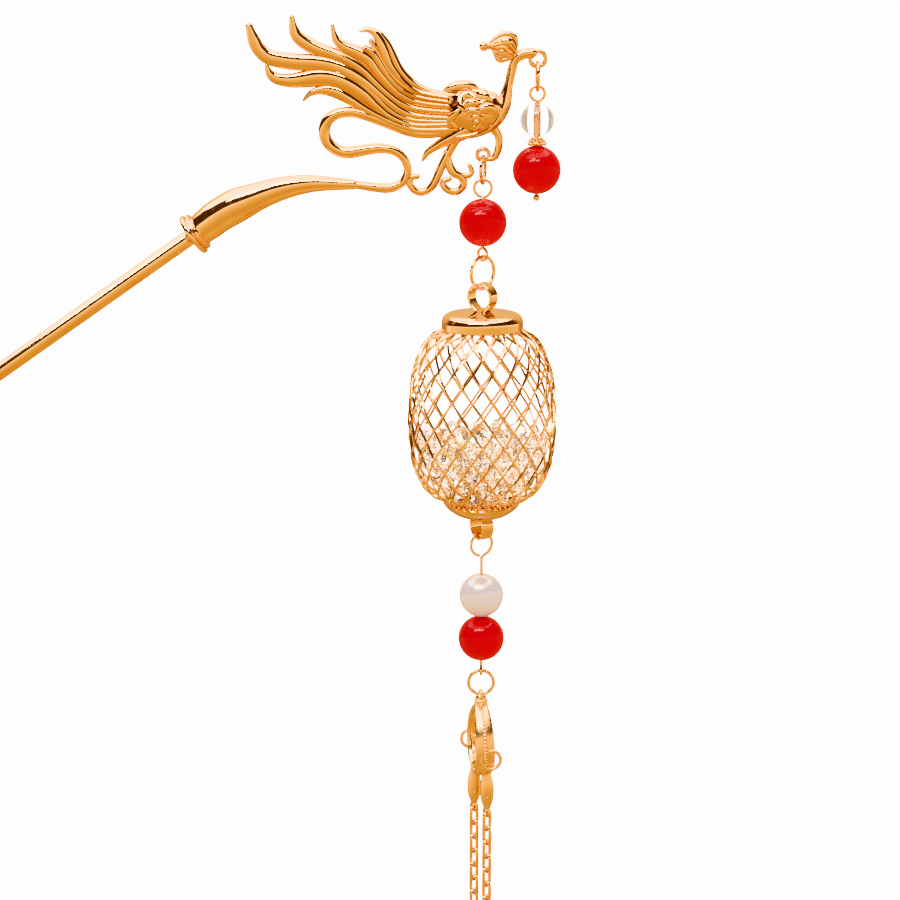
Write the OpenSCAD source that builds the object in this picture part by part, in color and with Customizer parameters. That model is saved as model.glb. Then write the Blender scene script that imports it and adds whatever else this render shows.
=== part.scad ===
// Buyao hairpin: a straight pin, a cast phoenix on a curved stem, a small drop at the beak
// and a long hanging drop with a wire net lantern full of loose crystals.
// Frame: +X along the phoenix towards its beak, -Y is the show side, +Z up, millimetres.
// The origin is on the pin's axis, at the face of the collar that stops against the hair.

/* [Pin] */
// Length of the pin beyond the collar
pin_l = 110; // [70:1:140]
// Diameter of the pin
pin_d = 2.7; // [2.2:0.1:3.4]
// Diameter of the pin's rounded tip
pin_tip_d = 1.3; // [0.8:0.1:2]
// Length of the taper at the tip
pin_taper_l = 26; // [10:1:50]
// Angle of the pin below the horizontal
pin_slope = 34.8; // [25:0.5:45]

/* [Socket] */
// Diameter of the collar
collar_d = 7.1; // [6.4:0.1:9]
// Thickness of the collar
collar_t = 1.0; // [0.6:0.1:2]
// Diameter of the socket behind the collar
socket_d = 5.5; // [4.8:0.1:6.2]
// Diameter of the pin's end inside the socket
pin_tenon_d = 2.1; // [1.6:0.1:2.1]
// Depth that the pin goes into the socket
pin_seat = 6; // [3:0.5:8]
// Diameter of the stem where it enters the socket's thin end
stem_d = 1.35; // [1.1:0.05:1.5]
// Depth that the stem goes into the socket
stem_seat = 3; // [1.5:0.5:5]

/* [Phoenix] */
// Length of the phoenix from tail tips to beak eye
bird_w = 48.6; // [42:0.2:58]
// Height of the phoenix from its lowest scroll to its tail tips
bird_h = 29.2; // [26:0.2:34]
// Thickness of the body from the show side to the back
bird_t = 5.6; // [4.4:0.1:7]
// Width of a tail feather at its widest
feather_w = 2.3; // [1.8:0.1:2.8]
// Thickness of a tail feather
feather_t = 2.0; // [1.4:0.1:2.8]
// Diameter of the scrolls under the body
scroll_d = 1.25; // [1:0.05:1.6]
// Diameter of the bar of the hanging eye and the beak eye
eye_bar = 0.7; // [0.5:0.05:0.9]
// Diameter of the hanging eye, measured at the middle of its bar
hang_eye_d = 1.9; // [1.8:0.05:2.4]
// Diameter of the beak eye, measured at the middle of its bar
beak_eye_d = 2.45; // [2.1:0.05:3]

/* [Rings and wires] */
// Diameter of the jump rings' wire
ring_wire = 0.6; // [0.45:0.05:0.65]
// Diameter of the eye pins' wire
pin_wire = 0.5; // [0.4:0.05:0.6]
// Diameter of the ring on the hanging eye, at the middle of its wire
hook_ring_d = 4.34; // [3.8:0.02:6]
// Diameter of the ring on the beak eye, at the middle of its wire
beak_ring_d = 4.4; // [3.8:0.05:6]
// Diameter of the ring on the lantern's bail, at the middle of its wire
lantern_ring_d = 5.3; // [4.4:0.05:6.5]
// Diameter of the ring on the charm, at the middle of its wire
tassel_ring_d = 4.3; // [3.4:0.05:5.5]
// Air between wires that hang in each other
fit = 0.05; // [0.03:0.01:0.12]

/* [Beads] */
// Diameter of the red beads
red_d = 7.8; // [6.5:0.1:9]
// Diameter of the pearl
pearl_d = 7.5; // [6:0.1:9]
// Diameter of the clear glass bead
glass_d = 5.5; // [4.5:0.1:7]
// Diameter of the holes through the beads
bead_bore = 0.8; // [0.7:0.05:1.2]
// Diameter of the bead cap over the beak's red bead
bead_cap_d = 3.2; // [2.6:0.1:4]
// Height of the bead cap
bead_cap_h = 1.3; // [0.9:0.1:1.8]

/* [Lantern] */
// Diameter of the lantern's cap
cap_d = 13.5; // [11.5:0.1:15]
// Height of the cap's polished skirt
cap_skirt = 1.1; // [0.8:0.1:1.6]
// Rise of the cap's dome above the skirt
cap_rise = 2.1; // [1.2:0.1:2.8]
// Diameter of the wire net at its widest
cage_d = 24.8; // [22:0.2:30]
// Height of the wire net
cage_h = 30.8; // [26:0.2:38]
// Thickness of the wire net
cage_wall = 0.6; // [0.45:0.05:0.9]
// Width of a wire between two gaps
cage_wire = 0.75; // [0.6:0.05:1]
// Number of gaps round the net
cage_cells = 14; // [12:2:14]
// Number of rows of gaps up the net
cage_rows = 8; // [6:1:8]
// Diameter of the dish under the net
dish_d = 13.0; // [11.5:0.1:15]
// Height of the dish
dish_h = 2.6; // [2:0.1:3.6]
// Diameter of the band bails above and below the lantern
bail_d = 4.8; // [4.2:0.1:6]
// Width of the bails' band
bail_w = 2.1; // [1.6:0.1:3]
// Thickness of the bails' band
bail_t = 0.45; // [0.35:0.05:0.6]
// Widest diameter of a loose crystal
crystal_d = 3.7; // [3.2:0.1:4]

/* [Tassel] */
// Width of the openwork charm
charm_w = 10; // [8:0.2:13]
// Height of the openwork charm from its eye to its foot
charm_h = 14.5; // [12:0.2:18]
// Thickness of the charm's rim
charm_t = 3.4; // [2.4:0.1:4]
// Diameter of the charm's side rings, at the middle of their wire
ear_d = 3.3; // [2.6:0.1:4]
// Length of a chain link
link_l = 3.9; // [3.4:0.05:4.4]
// Width of a chain link
link_w = 2.1; // [1.9:0.05:2.6]
// Diameter of the links' wire
link_wire = 0.6; // [0.4:0.05:0.6]
// Number of links in each of the two chains
links = 7; // [4:1:10]

/* [Hidden] */
$fn = 48;
gold = "goldenrod";

// Where things are on the phoenix, as shares of its length and height
collar_at = [-0.191, -0.223];
hang_eye_at = [0.787, 0.229];
beak_eye_at = [0.966, 0.751];

// Turns the shares of a point into its place in the part's frame
function at(p, y = 0) = [
    (p[0] - collar_at[0]) * bird_w,
    y,
    (p[1] - collar_at[1]) * bird_h
];

hang_eye = at(hang_eye_at);
beak_eye = at(beak_eye_at);
eye_r = hang_eye_d / 2;
beak_r = beak_eye_d / 2;
// Step from one wire's middle to the next where they hang in each other
hang_step = (eye_bar + ring_wire) / 2 + fit;
loop_step = (ring_wire + pin_wire) / 2 + fit;

// Main drop, from the hanging eye down: each height follows from the piece above
drop_x = hang_eye[0];
swing_z = hang_eye[2] - eye_r;
hook_ring_r = hook_ring_d / 2;
hook_ring_z = swing_z + hang_step - hook_ring_r;
sway_z = hook_ring_z - hook_ring_r;
upper_loop_r = 1.4;
upper_loop_z = sway_z + loop_step - upper_loop_r;
red_top_z = upper_loop_z - upper_loop_r - pin_wire / 2 - fit;
upper_red_z = red_top_z - red_d / 2;
lower_loop_r = 1.0;
lower_loop_z = upper_red_z - red_d / 2 - fit - pin_wire / 2 - lower_loop_r;
lantern_ring_r = lantern_ring_d / 2;
lantern_ring_z = lower_loop_z - lower_loop_r + loop_step - lantern_ring_r;
bail_r = bail_d / 2;
// A band of this width rides up the inside of a ring by its edges
function band_seat(inner_r) = sqrt(pow(inner_r, 2) - pow(bail_w / 2, 2)) - fit;
bail_z = lantern_ring_z - band_seat(lantern_ring_r - ring_wire / 2) + bail_t - bail_r;
// How far the bails' points are sunk in the cap and in the dish
bail_tip = bail_r * sqrt(2);
cap_sink = 1.3;
dish_sink = 1.8;
// Walls of the dish and the cap
dish_wall = 0.5;
cap_wall = 0.5;
// Width of the dish's lip round the net
dish_lip = 0.9;
// Diameter of the beads on the dish's lip
lip_bead_d = 0.65;
cap_top_z = bail_z - bail_tip + cap_sink;
cap_rim_z = cap_top_z - cap_rise - cap_skirt;
// The net's ends go into the cap and the dish this far
net_seat = 0.6;
net_top_z = cap_rim_z + net_seat;
net_low_z = net_top_z - cage_h;
dish_low_z = net_low_z + net_seat - dish_h;
// Radii of the net's ends and heights of the upright collars there
net_top_r = cap_d / 2 - cap_wall - 2 * fit;
net_low_r = dish_d / 2 - dish_lip;
top_collar = net_seat + 2 * fit;
low_collar = net_seat + lip_bead_d / 2 + 2 * fit;
foot_bail_z = dish_low_z + dish_sink - bail_tip;
foot_loop_r = 2.0;
foot_loop_z = foot_bail_z - bail_r + bail_t - band_seat(foot_loop_r - pin_wire / 2);
pin_neck = 3.3;
pearl_z = foot_loop_z - foot_loop_r - pin_neck - pearl_d / 2;
lower_red_z = pearl_z - (pearl_d + red_d) / 2 - fit;
pin_stub = 1.0;
end_loop_r = 0.7;
end_loop_z = lower_red_z - red_d / 2 - pin_stub - pin_wire / 2 - end_loop_r;
tassel_ring_r = tassel_ring_d / 2;
tassel_ring_z = end_loop_z - end_loop_r + loop_step - tassel_ring_r;

// Beak drop, from the beak eye down
beak_x = beak_eye[0];
beak_ring_r = beak_ring_d / 2;
beak_ring_z = beak_eye[2] - beak_r + hang_step - beak_ring_r;
beak_loop_r = 1.15;
beak_loop_z = beak_ring_z - beak_ring_r + loop_step - beak_loop_r;
glass_z = beak_loop_z - beak_loop_r - pin_wire / 2 - fit - glass_d / 2;
bead_cap_z = glass_z - glass_d / 2 - fit - bead_cap_h;
beak_red_z = bead_cap_z - red_d / 2;
head_d = 1.1;
head_z = beak_red_z - red_d / 2 - fit - head_d / 2;

// Tassel: the charm hangs on its eye in the tassel ring
charm_z = tassel_ring_z - tassel_ring_r;
charm_turn = -82;
charm_eye_r = 0.8;
leaf_h = 7.3;
chain_turn = 45;
// The two leaves at the charm's foot, sideways and in depth
leaf_at = [[-1.1, 1.25], [1.1, -1.25]];
leaf_eye_r = 0.7;
chain_top_z = charm_z - charm_h - leaf_h;

// Turns of the rings and loops about the drop's axis
hook_turn = 80;
ring_turn = 45;
bail_turn = -35;
foot_bail_turn = -62;
foot_loop_turn = 28;

// A point of a smooth curve between two points of a row
function between(a, b, c, d, t) = 0.5 * (2 * b + (c - a) * t
    + (2 * a - 5 * b + 4 * c - d) * t * t + (3 * b - 3 * c + d - a) * t * t * t);

// A smooth curve through a row of points, with n steps between neighbours
function smooth(p, n) = let (m = len(p) - 1) [
    for (i = [0 : m - 1]) for (k = [0 : n - 1])
        between(p[max(i - 1, 0)], p[i], p[i + 1], p[min(i + 2, m)], k / n),
    p[m]
];

// A value between the entries of a short list, at a share of its length
function mix(list, t) = let (m = len(list) - 1, i = min(floor(t * m), m - 1), f = t * m - i)
    list[i] * (1 - f) + list[i + 1] * f;

// A swept bar in the plane XZ: path of points, width in the plane, depth across it
module bar(path, widths, depths, sides = 6) {
    last = len(path) - 1;
    rings = [for (i = [0 : last])
        let (
            t = path[min(i + 1, last)] - path[max(i - 1, 0)],
            n = [-t[2], 0, t[0]] / norm([t[0], t[2]]),
            w = mix(widths, i / last) / 2,
            d = mix(depths, i / last) / 2
        )
        [for (k = [0 : sides - 1])
            path[i] + n * w * cos(360 * k / sides) - [0, d * sin(360 * k / sides), 0]]];
    polyhedron(
        points = [for (r = rings) for (p = r) p],
        faces = concat(
            [[for (k = [0 : sides - 1]) k]],
            [for (i = [0 : last - 1]) for (k = [0 : sides - 1])
                [i * sides + k, (i + 1) * sides + k,
                 (i + 1) * sides + (k + 1) % sides, i * sides + (k + 1) % sides]],
            [[for (k = [sides - 1 : -1 : 0]) last * sides + k]]
        )
    );
}

// A ring of round wire in the plane XZ, turned about Z
module ring(r, wire, turn = 0) {
    rotate([0, 0, turn])
        rotate([90, 0, 0])
            rotate_extrude()
                translate([r, 0])
                    circle(d = wire);
}

// Tail feathers, a row each: points as shares from tip to root,
// widths and thicknesses as shares of feather_w and feather_t
feathers = [
    [[[0.019, 0.920], [0.034, 0.840], [0.063, 0.781], [0.112, 0.751], [0.266, 0.738],
      [0.414, 0.635], [0.578, 0.462], [0.700, 0.440]], [0.35, 0.8, 1, 0.9, 0.6], [0.5, 1, 1]],
    [[[0.160, 0.973], [0.169, 0.904], [0.192, 0.840], [0.283, 0.770], [0.398, 0.679],
      [0.529, 0.522], [0.611, 0.467], [0.700, 0.462]], [0.3, 0.85, 0.9, 0.75, 0.5], [0.5, 1, 1]],
    [[[0.294, 0.931], [0.300, 0.861], [0.333, 0.824], [0.421, 0.765],
      [0.496, 0.614], [0.600, 0.500], [0.700, 0.489]], [0.2, 0.75, 0.8, 0.7, 0.5], [0.4, 1, 1]],
    [[[0.418, 0.835], [0.448, 0.786], [0.503, 0.635],
      [0.600, 0.525], [0.700, 0.512]], [0.5, 0.6, 0.6, 0.5, 0.4], [1, 1.1]],
    [[[0.383, 0.890], [0.415, 0.899], [0.447, 0.860], [0.490, 0.716],
      [0.562, 0.576], [0.700, 0.538]], [0.15, 0.6, 0.8, 0.6, 0.5], [0.4, 1.1, 1.1]],
    [[[0.440, 0.890], [0.487, 0.808], [0.533, 0.655],
      [0.590, 0.575], [0.700, 0.560]], [0.3, 0.6, 0.6, 0.6, 0.5], [0.6, 1, 1]],
    [[[0.072, 0.711], [0.084, 0.657], [0.117, 0.625], [0.173, 0.630], [0.258, 0.657],
      [0.348, 0.625], [0.463, 0.484], [0.560, 0.415], [0.700, 0.424]],
      [0.2, 0.6, 0.85, 0.95, 0.9, 0.6], [0.5, 1, 1]],
    [[[0.195, 0.533], [0.222, 0.571], [0.265, 0.587], [0.354, 0.543],
      [0.472, 0.435], [0.570, 0.385], [0.700, 0.390]], [0.2, 0.5, 0.8, 0.8, 0.6], [0.4, 0.9, 1]]
];

// Outline of the thin web that joins the feathers, as shares
tail_web = [[0.190, 0.645], [0.250, 0.745], [0.333, 0.815], [0.450, 0.830], [0.500, 0.690],
    [0.562, 0.580], [0.700, 0.550], [0.700, 0.380], [0.570, 0.385], [0.463, 0.470],
    [0.348, 0.600], [0.258, 0.640]];

// The stem from the socket through its S-shaped loop to the body, with widths in shares of stem_d
stem_path = [[0.300, 0.066], [0.354, 0.064], [0.461, 0.044], [0.511, 0.067], [0.533, 0.116],
    [0.533, 0.177], [0.505, 0.238], [0.462, 0.262], [0.395, 0.249], [0.328, 0.224],
    [0.285, 0.232], [0.252, 0.271], [0.249, 0.336], [0.260, 0.402], [0.290, 0.451],
    [0.337, 0.467], [0.396, 0.446], [0.462, 0.396], [0.528, 0.358], [0.611, 0.342],
    [0.700, 0.370]];
stem_widths = [0.85, 0.85, 1.25, 1, 0.95, 0.95, 1, 1.05, 1.1, 1.1, 1.2, 1.4, 1.55, 1.55, 1.45,
    1.4, 1.4, 1.4, 1.3, 1.2, 1.2];

// Scrolls under the body, with widths in shares of scroll_d
scrolls = [
    // Long scroll that comes back to the stem
    [[[0.712, 0.340], [0.698, 0.314], [0.656, 0.188], [0.631, 0.094], [0.614, 0.050],
      [0.587, 0.022], [0.559, 0.033], [0.542, 0.072], [0.551, 0.105], [0.568, 0.108]],
      [1.3, 1.1, 1.1, 1, 1, 0.9, 0.7]],
    // Spiral beside it
    [[[0.668, 0.240], [0.673, 0.180], [0.688, 0.133], [0.711, 0.111], [0.723, 0.078],
      [0.718, 0.050], [0.698, 0.025], [0.674, 0.031], [0.656, 0.055], [0.656, 0.083],
      [0.675, 0.095]], [1, 1.2, 1, 1, 0.9, 0.7]],
    // Small hook on the spiral
    [[[0.705, 0.115], [0.734, 0.114], [0.750, 0.133], [0.742, 0.170]], [0.8, 0.8, 0.6]],
    // Scroll from the breast to the hanging eye
    [[[0.805, 0.400], [0.826, 0.364], [0.839, 0.323], [0.838, 0.265], [0.825, 0.215],
      [0.807, 0.205]], [1.6, 1.1, 1, 0.9, 0.7]],
    // Leaf that sweeps back under the body
    [[[0.800, 0.410], [0.740, 0.372], [0.690, 0.328], [0.640, 0.285], [0.604, 0.245],
      [0.586, 0.199]], [1, 2.2, 1.9, 1.2, 0.9, 0.4]]
];

// Curls of the wing, raised on both faces, with widths in shares of scroll_d
curls = [
    [[[0.650, 0.560], [0.668, 0.605], [0.700, 0.628], [0.740, 0.618], [0.768, 0.585]],
      [0.6, 1.1, 1.2, 0.8]],
    [[[0.765, 0.545], [0.738, 0.565], [0.712, 0.545], [0.708, 0.503], [0.728, 0.480],
      [0.748, 0.500], [0.738, 0.525]], [1, 1, 0.9, 0.7]],
    [[[0.830, 0.515], [0.806, 0.545], [0.777, 0.535], [0.767, 0.498], [0.787, 0.475],
      [0.806, 0.490]], [1, 1, 0.9, 0.7]],
    [[[0.797, 0.442], [0.770, 0.472], [0.737, 0.462], [0.727, 0.420], [0.747, 0.390],
      [0.773, 0.405], [0.768, 0.435]], [1, 1, 0.9, 0.7]],
    [[[0.693, 0.570], [0.680, 0.515], [0.690, 0.460], [0.716, 0.430]], [0.6, 0.9, 0.6]]
];

// The breast strap and the neck up to the beak eye, with widths and depths in shares of scroll_d
neck_path = [[0.700, 0.330], [0.760, 0.346], [0.808, 0.380], [0.838, 0.430], [0.855, 0.490],
    [0.862, 0.550], [0.871, 0.617], [0.882, 0.686], [0.889, 0.735], [0.903, 0.764], [0.925, 0.779],
    [0.947, 0.782]];
neck_widths = [0.8, 1.1, 1.3, 1.5, 1.7, 1.6, 1.15, 1.05, 1.1, 1.3, 1.35, 1.3];
neck_depths = [2.2, 2.8, 3.1, 3.1, 2.8, 2.2, 1.5, 1.2, 1.2, 1.4, 1.4, 1.3];

// Leaves of the crest: thin end, thick end, and their diameters in shares of scroll_d
crest_leaves = [
    [[0.786, 0.822], [0.826, 0.822], 1.2, 1.5],
    [[0.826, 0.822], [0.862, 0.838], 1.5, 2.1],
    [[0.862, 0.838], [0.893, 0.848], 2.1, 1.3],
    [[0.836, 0.860], [0.880, 0.868], 0.9, 1.2],
    [[0.832, 0.752], [0.860, 0.780], 0.6, 1.5],
    [[0.860, 0.780], [0.893, 0.815], 1.5, 1.3],
    [[0.895, 0.820], [0.888, 0.745], 0.9, 0.8],
    [[0.888, 0.745], [0.880, 0.690], 0.8, 1.2]
];

// Body of the phoenix: places and diameters of its round forms, in shares of bird_t
body_forms = [[[0.718, 0.460], 1.0], [[0.768, 0.462], 1.28], [[0.812, 0.484], 0.98]];

// The straight pin with its tapered, rounded tip
module pin() {
    color(gold)
        rotate([0, -90 - pin_slope, 0]) {
            translate([0, 0, -pin_seat])
                cylinder(h = pin_seat + 2 * fit, d = pin_tenon_d);
            translate([0, 0, fit])
                cylinder(h = pin_l - pin_taper_l - fit, d = pin_d);
            translate([0, 0, pin_l - pin_taper_l])
                cylinder(h = pin_taper_l - pin_tip_d / 2, d1 = pin_d, d2 = pin_tip_d);
            translate([0, 0, pin_l - pin_tip_d / 2])
                sphere(d = pin_tip_d);
        }
}

// Tube of the socket: points as shares of the phoenix, diameters as shares of socket_d
socket_path = [[-0.166, -0.194], [-0.127, -0.146], [-0.093, -0.104], [-0.030, -0.047],
    [0.042, 0.002], [0.110, 0.040], [0.177, 0.062], [0.244, 0.070], [0.354, 0.064]];
socket_widths = [0.92, 1, 1.02, 1.02, 0.82, 0.70, 0.58, 0.48, 0.34];

// The collar and the tapering socket that hold the pin and the stem
module stem_socket() {
    end_dir = [at(stem_path[0]), at(stem_path[1])];
    end_turn = atan2(end_dir[1][0] - end_dir[0][0], end_dir[1][2] - end_dir[0][2]);
    color(gold)
        difference() {
            union() {
                rotate([0, 90 - pin_slope, 0])
                    cylinder(h = collar_t, d = collar_d);
                rotate([0, 90 - pin_slope, 0])
                    cylinder(h = 3 * collar_t, d = socket_d * 0.96);
                bar(smooth([for (p = socket_path) at(p)], 2),
                    socket_widths * socket_d, socket_widths * socket_d, 14);
            }
            rotate([0, 90 - pin_slope, 0])
                translate([0, 0, -1])
                    cylinder(h = pin_seat + 1 + fit, d = pin_tenon_d + 2 * fit);
            translate(end_dir[1])
                rotate([0, end_turn, 0])
                    translate([0, 0, -stem_seat - fit])
                        cylinder(h = stem_seat + 1, d = stem_d * 0.85 + 2 * fit);
        }
}

// The cast phoenix with its stem, scrolls and two eyes, one solid
module phoenix() {
    color(gold) {
        for (f = feathers)
            bar(smooth([for (p = f[0]) at(p)], 2), f[1] * feather_w, f[2] * feather_t);
        translate([0, feather_t * 0.25, 0])
            rotate([90, 0, 0])
                linear_extrude(feather_t * 0.5)
                    polygon([for (p = tail_web) [at(p)[0], at(p)[2]]]);
        bar(smooth([for (p = stem_path) at(p)], 3), stem_widths * stem_d, stem_widths * stem_d);
        for (s = scrolls)
            bar(smooth([for (p = s[0]) at(p)], 3), s[1] * scroll_d, s[1] * scroll_d);
        for (side = [-1, 1], c = curls)
            bar(smooth([for (p = c[0]) at(p, side * bird_t * 0.42)], 2),
                c[1] * scroll_d, c[1] * scroll_d, 6);
        for (i = [0 : len(body_forms) - 2])
            hull()
                for (b = [body_forms[i], body_forms[i + 1]])
                    translate(at(b[0]))
                        scale([1, 0.8, 1])
                            sphere(d = b[1] * bird_t, $fn = 16);
        bar(smooth([for (p = neck_path) at(p)], 2), neck_widths * scroll_d, neck_depths * scroll_d);
        for (l = crest_leaves)
            hull() {
                translate(at(l[0]))
                    sphere(d = l[2] * scroll_d, $fn = 8);
                translate(at(l[1]))
                    sphere(d = l[3] * scroll_d, $fn = 8);
            }
        translate(hang_eye)
            ring(eye_r, eye_bar, $fn = 12);
        translate(beak_eye)
            ring(beak_r, eye_bar, $fn = 12);
    }
}

// Ring on the beak eye
module beak_ring() {
    color(gold)
        translate([beak_x, 0, beak_ring_z])
            ring(beak_ring_r, ring_wire, 90);
}

// Head pin of the beak drop: loop, straight wire and ball end
module beak_headpin() {
    color(gold)
        translate([beak_x, 0, 0]) {
            translate([0, 0, beak_loop_z])
                ring(beak_loop_r, pin_wire);
            translate([0, 0, head_z])
                cylinder(h = beak_loop_z - beak_loop_r - head_z, d = pin_wire);
            translate([0, 0, head_z])
                sphere(d = head_d);
        }
}

// A round bead with a hole along Z
module bead(x, z, d) {
    translate([x, 0, z])
        difference() {
            sphere(d = d);
            cylinder(h = d + 2, d = bead_bore, center = true);
        }
}

module glass_bead() {
    color("aliceblue")
        bead(beak_x, glass_z, glass_d);
}

// Daisy cap between the glass bead and the red bead: a core with a ring of petals
module bead_cap() {
    petals = 8;
    color(gold)
        translate([beak_x, 0, bead_cap_z])
            difference() {
                union() {
                    translate([0, 0, bead_cap_h * 0.2])
                        cylinder(h = bead_cap_h * 0.7, d = bead_cap_d * 0.62);
                    for (i = [0 : petals - 1])
                        rotate([0, 0, 360 * i / petals])
                            translate([bead_cap_d * 0.36, 0, bead_cap_h / 2])
                                sphere(d = bead_cap_d * 0.3);
                }
                cylinder(h = 4 * bead_cap_h, d = bead_bore, center = true);
                translate([0, 0, -red_d / 2])
                    sphere(d = red_d + 2 * fit);
                translate([0, 0, bead_cap_h + fit + glass_d / 2])
                    sphere(d = glass_d + 2 * fit);
            }
}

module beak_red_bead() {
    color("red")
        bead(beak_x, beak_red_z, red_d);
}

// Ring on the hanging eye, turned a little off the plane YZ
module hook_ring() {
    color(gold)
        translate([drop_x, 0, hook_ring_z])
            ring(hook_ring_r, ring_wire, hook_turn);
}

// A wire with a loop at each end: top loop, lower loop and the straight wire between
module eyepin(top_z, top_r, top_turn, low_z, low_r, low_turn) {
    color(gold)
        translate([drop_x, 0, 0]) {
            translate([0, 0, top_z])
                ring(top_r, pin_wire, top_turn);
            translate([0, 0, low_z])
                ring(low_r, pin_wire, low_turn);
            translate([0, 0, low_z + low_r])
                cylinder(h = top_z - top_r - low_z - low_r, d = pin_wire);
        }
}

module upper_eyepin() {
    eyepin(upper_loop_z, upper_loop_r, 0, lower_loop_z, lower_loop_r, ring_turn + 90);
}

module upper_red_bead() {
    color("red")
        bead(drop_x, upper_red_z, red_d);
}

module lantern_ring() {
    color(gold)
        translate([drop_x, 0, lantern_ring_z])
            ring(lantern_ring_r, ring_wire, ring_turn);
}

// A band bent to a drop-shaped loop, its point down, its opening along Y
module bail() {
    rotate([90, 0, 0])
        linear_extrude(bail_w, center = true)
            difference() {
                drop_outline(bail_r);
                drop_outline(bail_r - bail_t);
            }
}

module drop_outline(r) {
    circle(r);
    rotate(225)
        square(r);
}

// The domed cap with its polished skirt, and the bail soldered on it
module lantern_cap() {
    color(gold)
        translate([drop_x, 0, 0]) {
            translate([0, 0, cap_rim_z])
                rotate_extrude()
                    polygon([[0, cap_skirt + cap_rise], [cap_d * 0.17, cap_skirt + cap_rise * 0.94],
                        [cap_d * 0.30, cap_skirt + cap_rise * 0.84],
                        [cap_d * 0.37, cap_skirt + cap_rise * 0.72],
                        [cap_d * 0.435, cap_skirt + cap_rise * 0.50],
                        [cap_d * 0.475, cap_skirt + cap_rise * 0.25],
                        [cap_d / 2, cap_skirt], [cap_d / 2, 0],
                        [cap_d / 2 - cap_wall, 0], [cap_d / 2 - cap_wall, cap_skirt - cap_wall * 0.6],
                        [cap_d * 0.42, cap_skirt + cap_rise * 0.45 - cap_wall * 0.6],
                        [cap_d * 0.36, cap_skirt + cap_rise * 0.72 - cap_wall],
                        [cap_d * 0.30, cap_skirt + cap_rise * 0.84 - cap_wall],
                        [0, cap_skirt + cap_rise - cap_wall]]);
            translate([0, 0, bail_z])
                rotate([0, 0, bail_turn])
                    bail();
        }
}

// Form of the net between its end collars: heights from its lower end and radii,
// as shares of cage_h and cage_d / 2
net_form = [[0.07, 0.70], [0.14, 0.85], [0.25, 0.955], [0.40, 1], [0.56, 1], [0.72, 0.965],
    [0.84, 0.87], [0.93, 0.73]];

// The same points as heights and radii, and the middle that the wall and the gaps face
net_points = [for (f = net_form) [f[0] * cage_h, f[1] * cage_d / 2]];
net_mid = [cage_h / 2, 0];
net_outer = concat([[0, net_low_r], [low_collar, net_low_r]], net_points,
    [[cage_h - top_collar, net_top_r], [cage_h, net_top_r]]);
net_inner = concat([[0, net_low_r - cage_wall], [low_collar + cage_wall, net_low_r - cage_wall]],
    [for (p = net_points) p - (p - net_mid) * cage_wall / norm(p - net_mid)],
    [[cage_h - top_collar - cage_wall, net_top_r - cage_wall], [cage_h, net_top_r - cage_wall]]);

// The wire net: a thin shell of the net's form, cut through by rows of diamonds
module lantern_net() {
    step = (cage_h - low_collar - top_collar) / (cage_rows + 1);
    color(gold)
        translate([drop_x, 0, net_low_z])
            difference() {
                rotate_extrude()
                    polygon([for (p = concat(net_outer, backwards(net_inner))) [p[1], p[0]]]);
                for (row = [1 : cage_rows], i = [0 : cage_cells - 1])
                    rotate([0, 0, 360 * (i + (row % 2) / 2) / cage_cells])
                        gap(low_collar + row * step, step - cage_wire / 2);
            }
}

function backwards(list) = [for (i = [len(list) - 1 : -1 : 0]) list[i]];

// A gap of the net: a diamond round the height z, with tips t above and below, whose sides
// all face the net's middle, so that neighbours stay apart
module gap(z, t) {
    inside = 0.88;
    outside = 1.1;
    w = PI * lookup(z, net_outer) / cage_cells - cage_wire / 2;
    middle = [0, 0, net_mid[0]];
    corners = [
        [lookup(z, net_outer), w, z], [lookup(z + t, net_outer), 0, z + t],
        [lookup(z, net_outer), -w, z], [lookup(z - t, net_outer), 0, z - t]
    ];
    polyhedron(
        points = [for (f = [inside, outside]) for (c = corners) middle + (c - middle) * f],
        faces = [[0, 1, 3], [1, 2, 3], [7, 5, 4], [7, 6, 5],
            [0, 4, 5, 1], [1, 5, 6, 2], [2, 6, 7, 3], [3, 7, 4, 0]]
    );
}

// Layers of loose crystals: heights of their middles above the dish's floor, in crystal_d
crystal_layers = [0.64, 1.55, 2.45, 3.34];
// Room between the crystals' middles and the net, and between neighbours, in crystal_d
crystal_room = 0.55;
crystal_step = 1.04;

// A cut stone: table, eight crown facets, eight pavilion facets and a blunt culet
module crystal(d) {
    facets = 8;
    table = 0.56;
    heights = [-0.40, 0, 0.20];
    radii = [0.06, 0.5, table / 2];
    polyhedron(
        points = [for (i = [0 : 2]) for (k = [0 : facets - 1])
            d * [radii[i] * cos(360 * k / facets), radii[i] * sin(360 * k / facets), heights[i]]],
        faces = concat(
            [[for (k = [0 : facets - 1]) k]],
            [for (i = [0 : 1]) for (k = [0 : facets - 1])
                [i * facets + k, (i + 1) * facets + k,
                 (i + 1) * facets + (k + 1) % facets, i * facets + (k + 1) % facets]],
            [[for (k = [facets - 1 : -1 : 0]) 2 * facets + k]]
        )
    );
}

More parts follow.
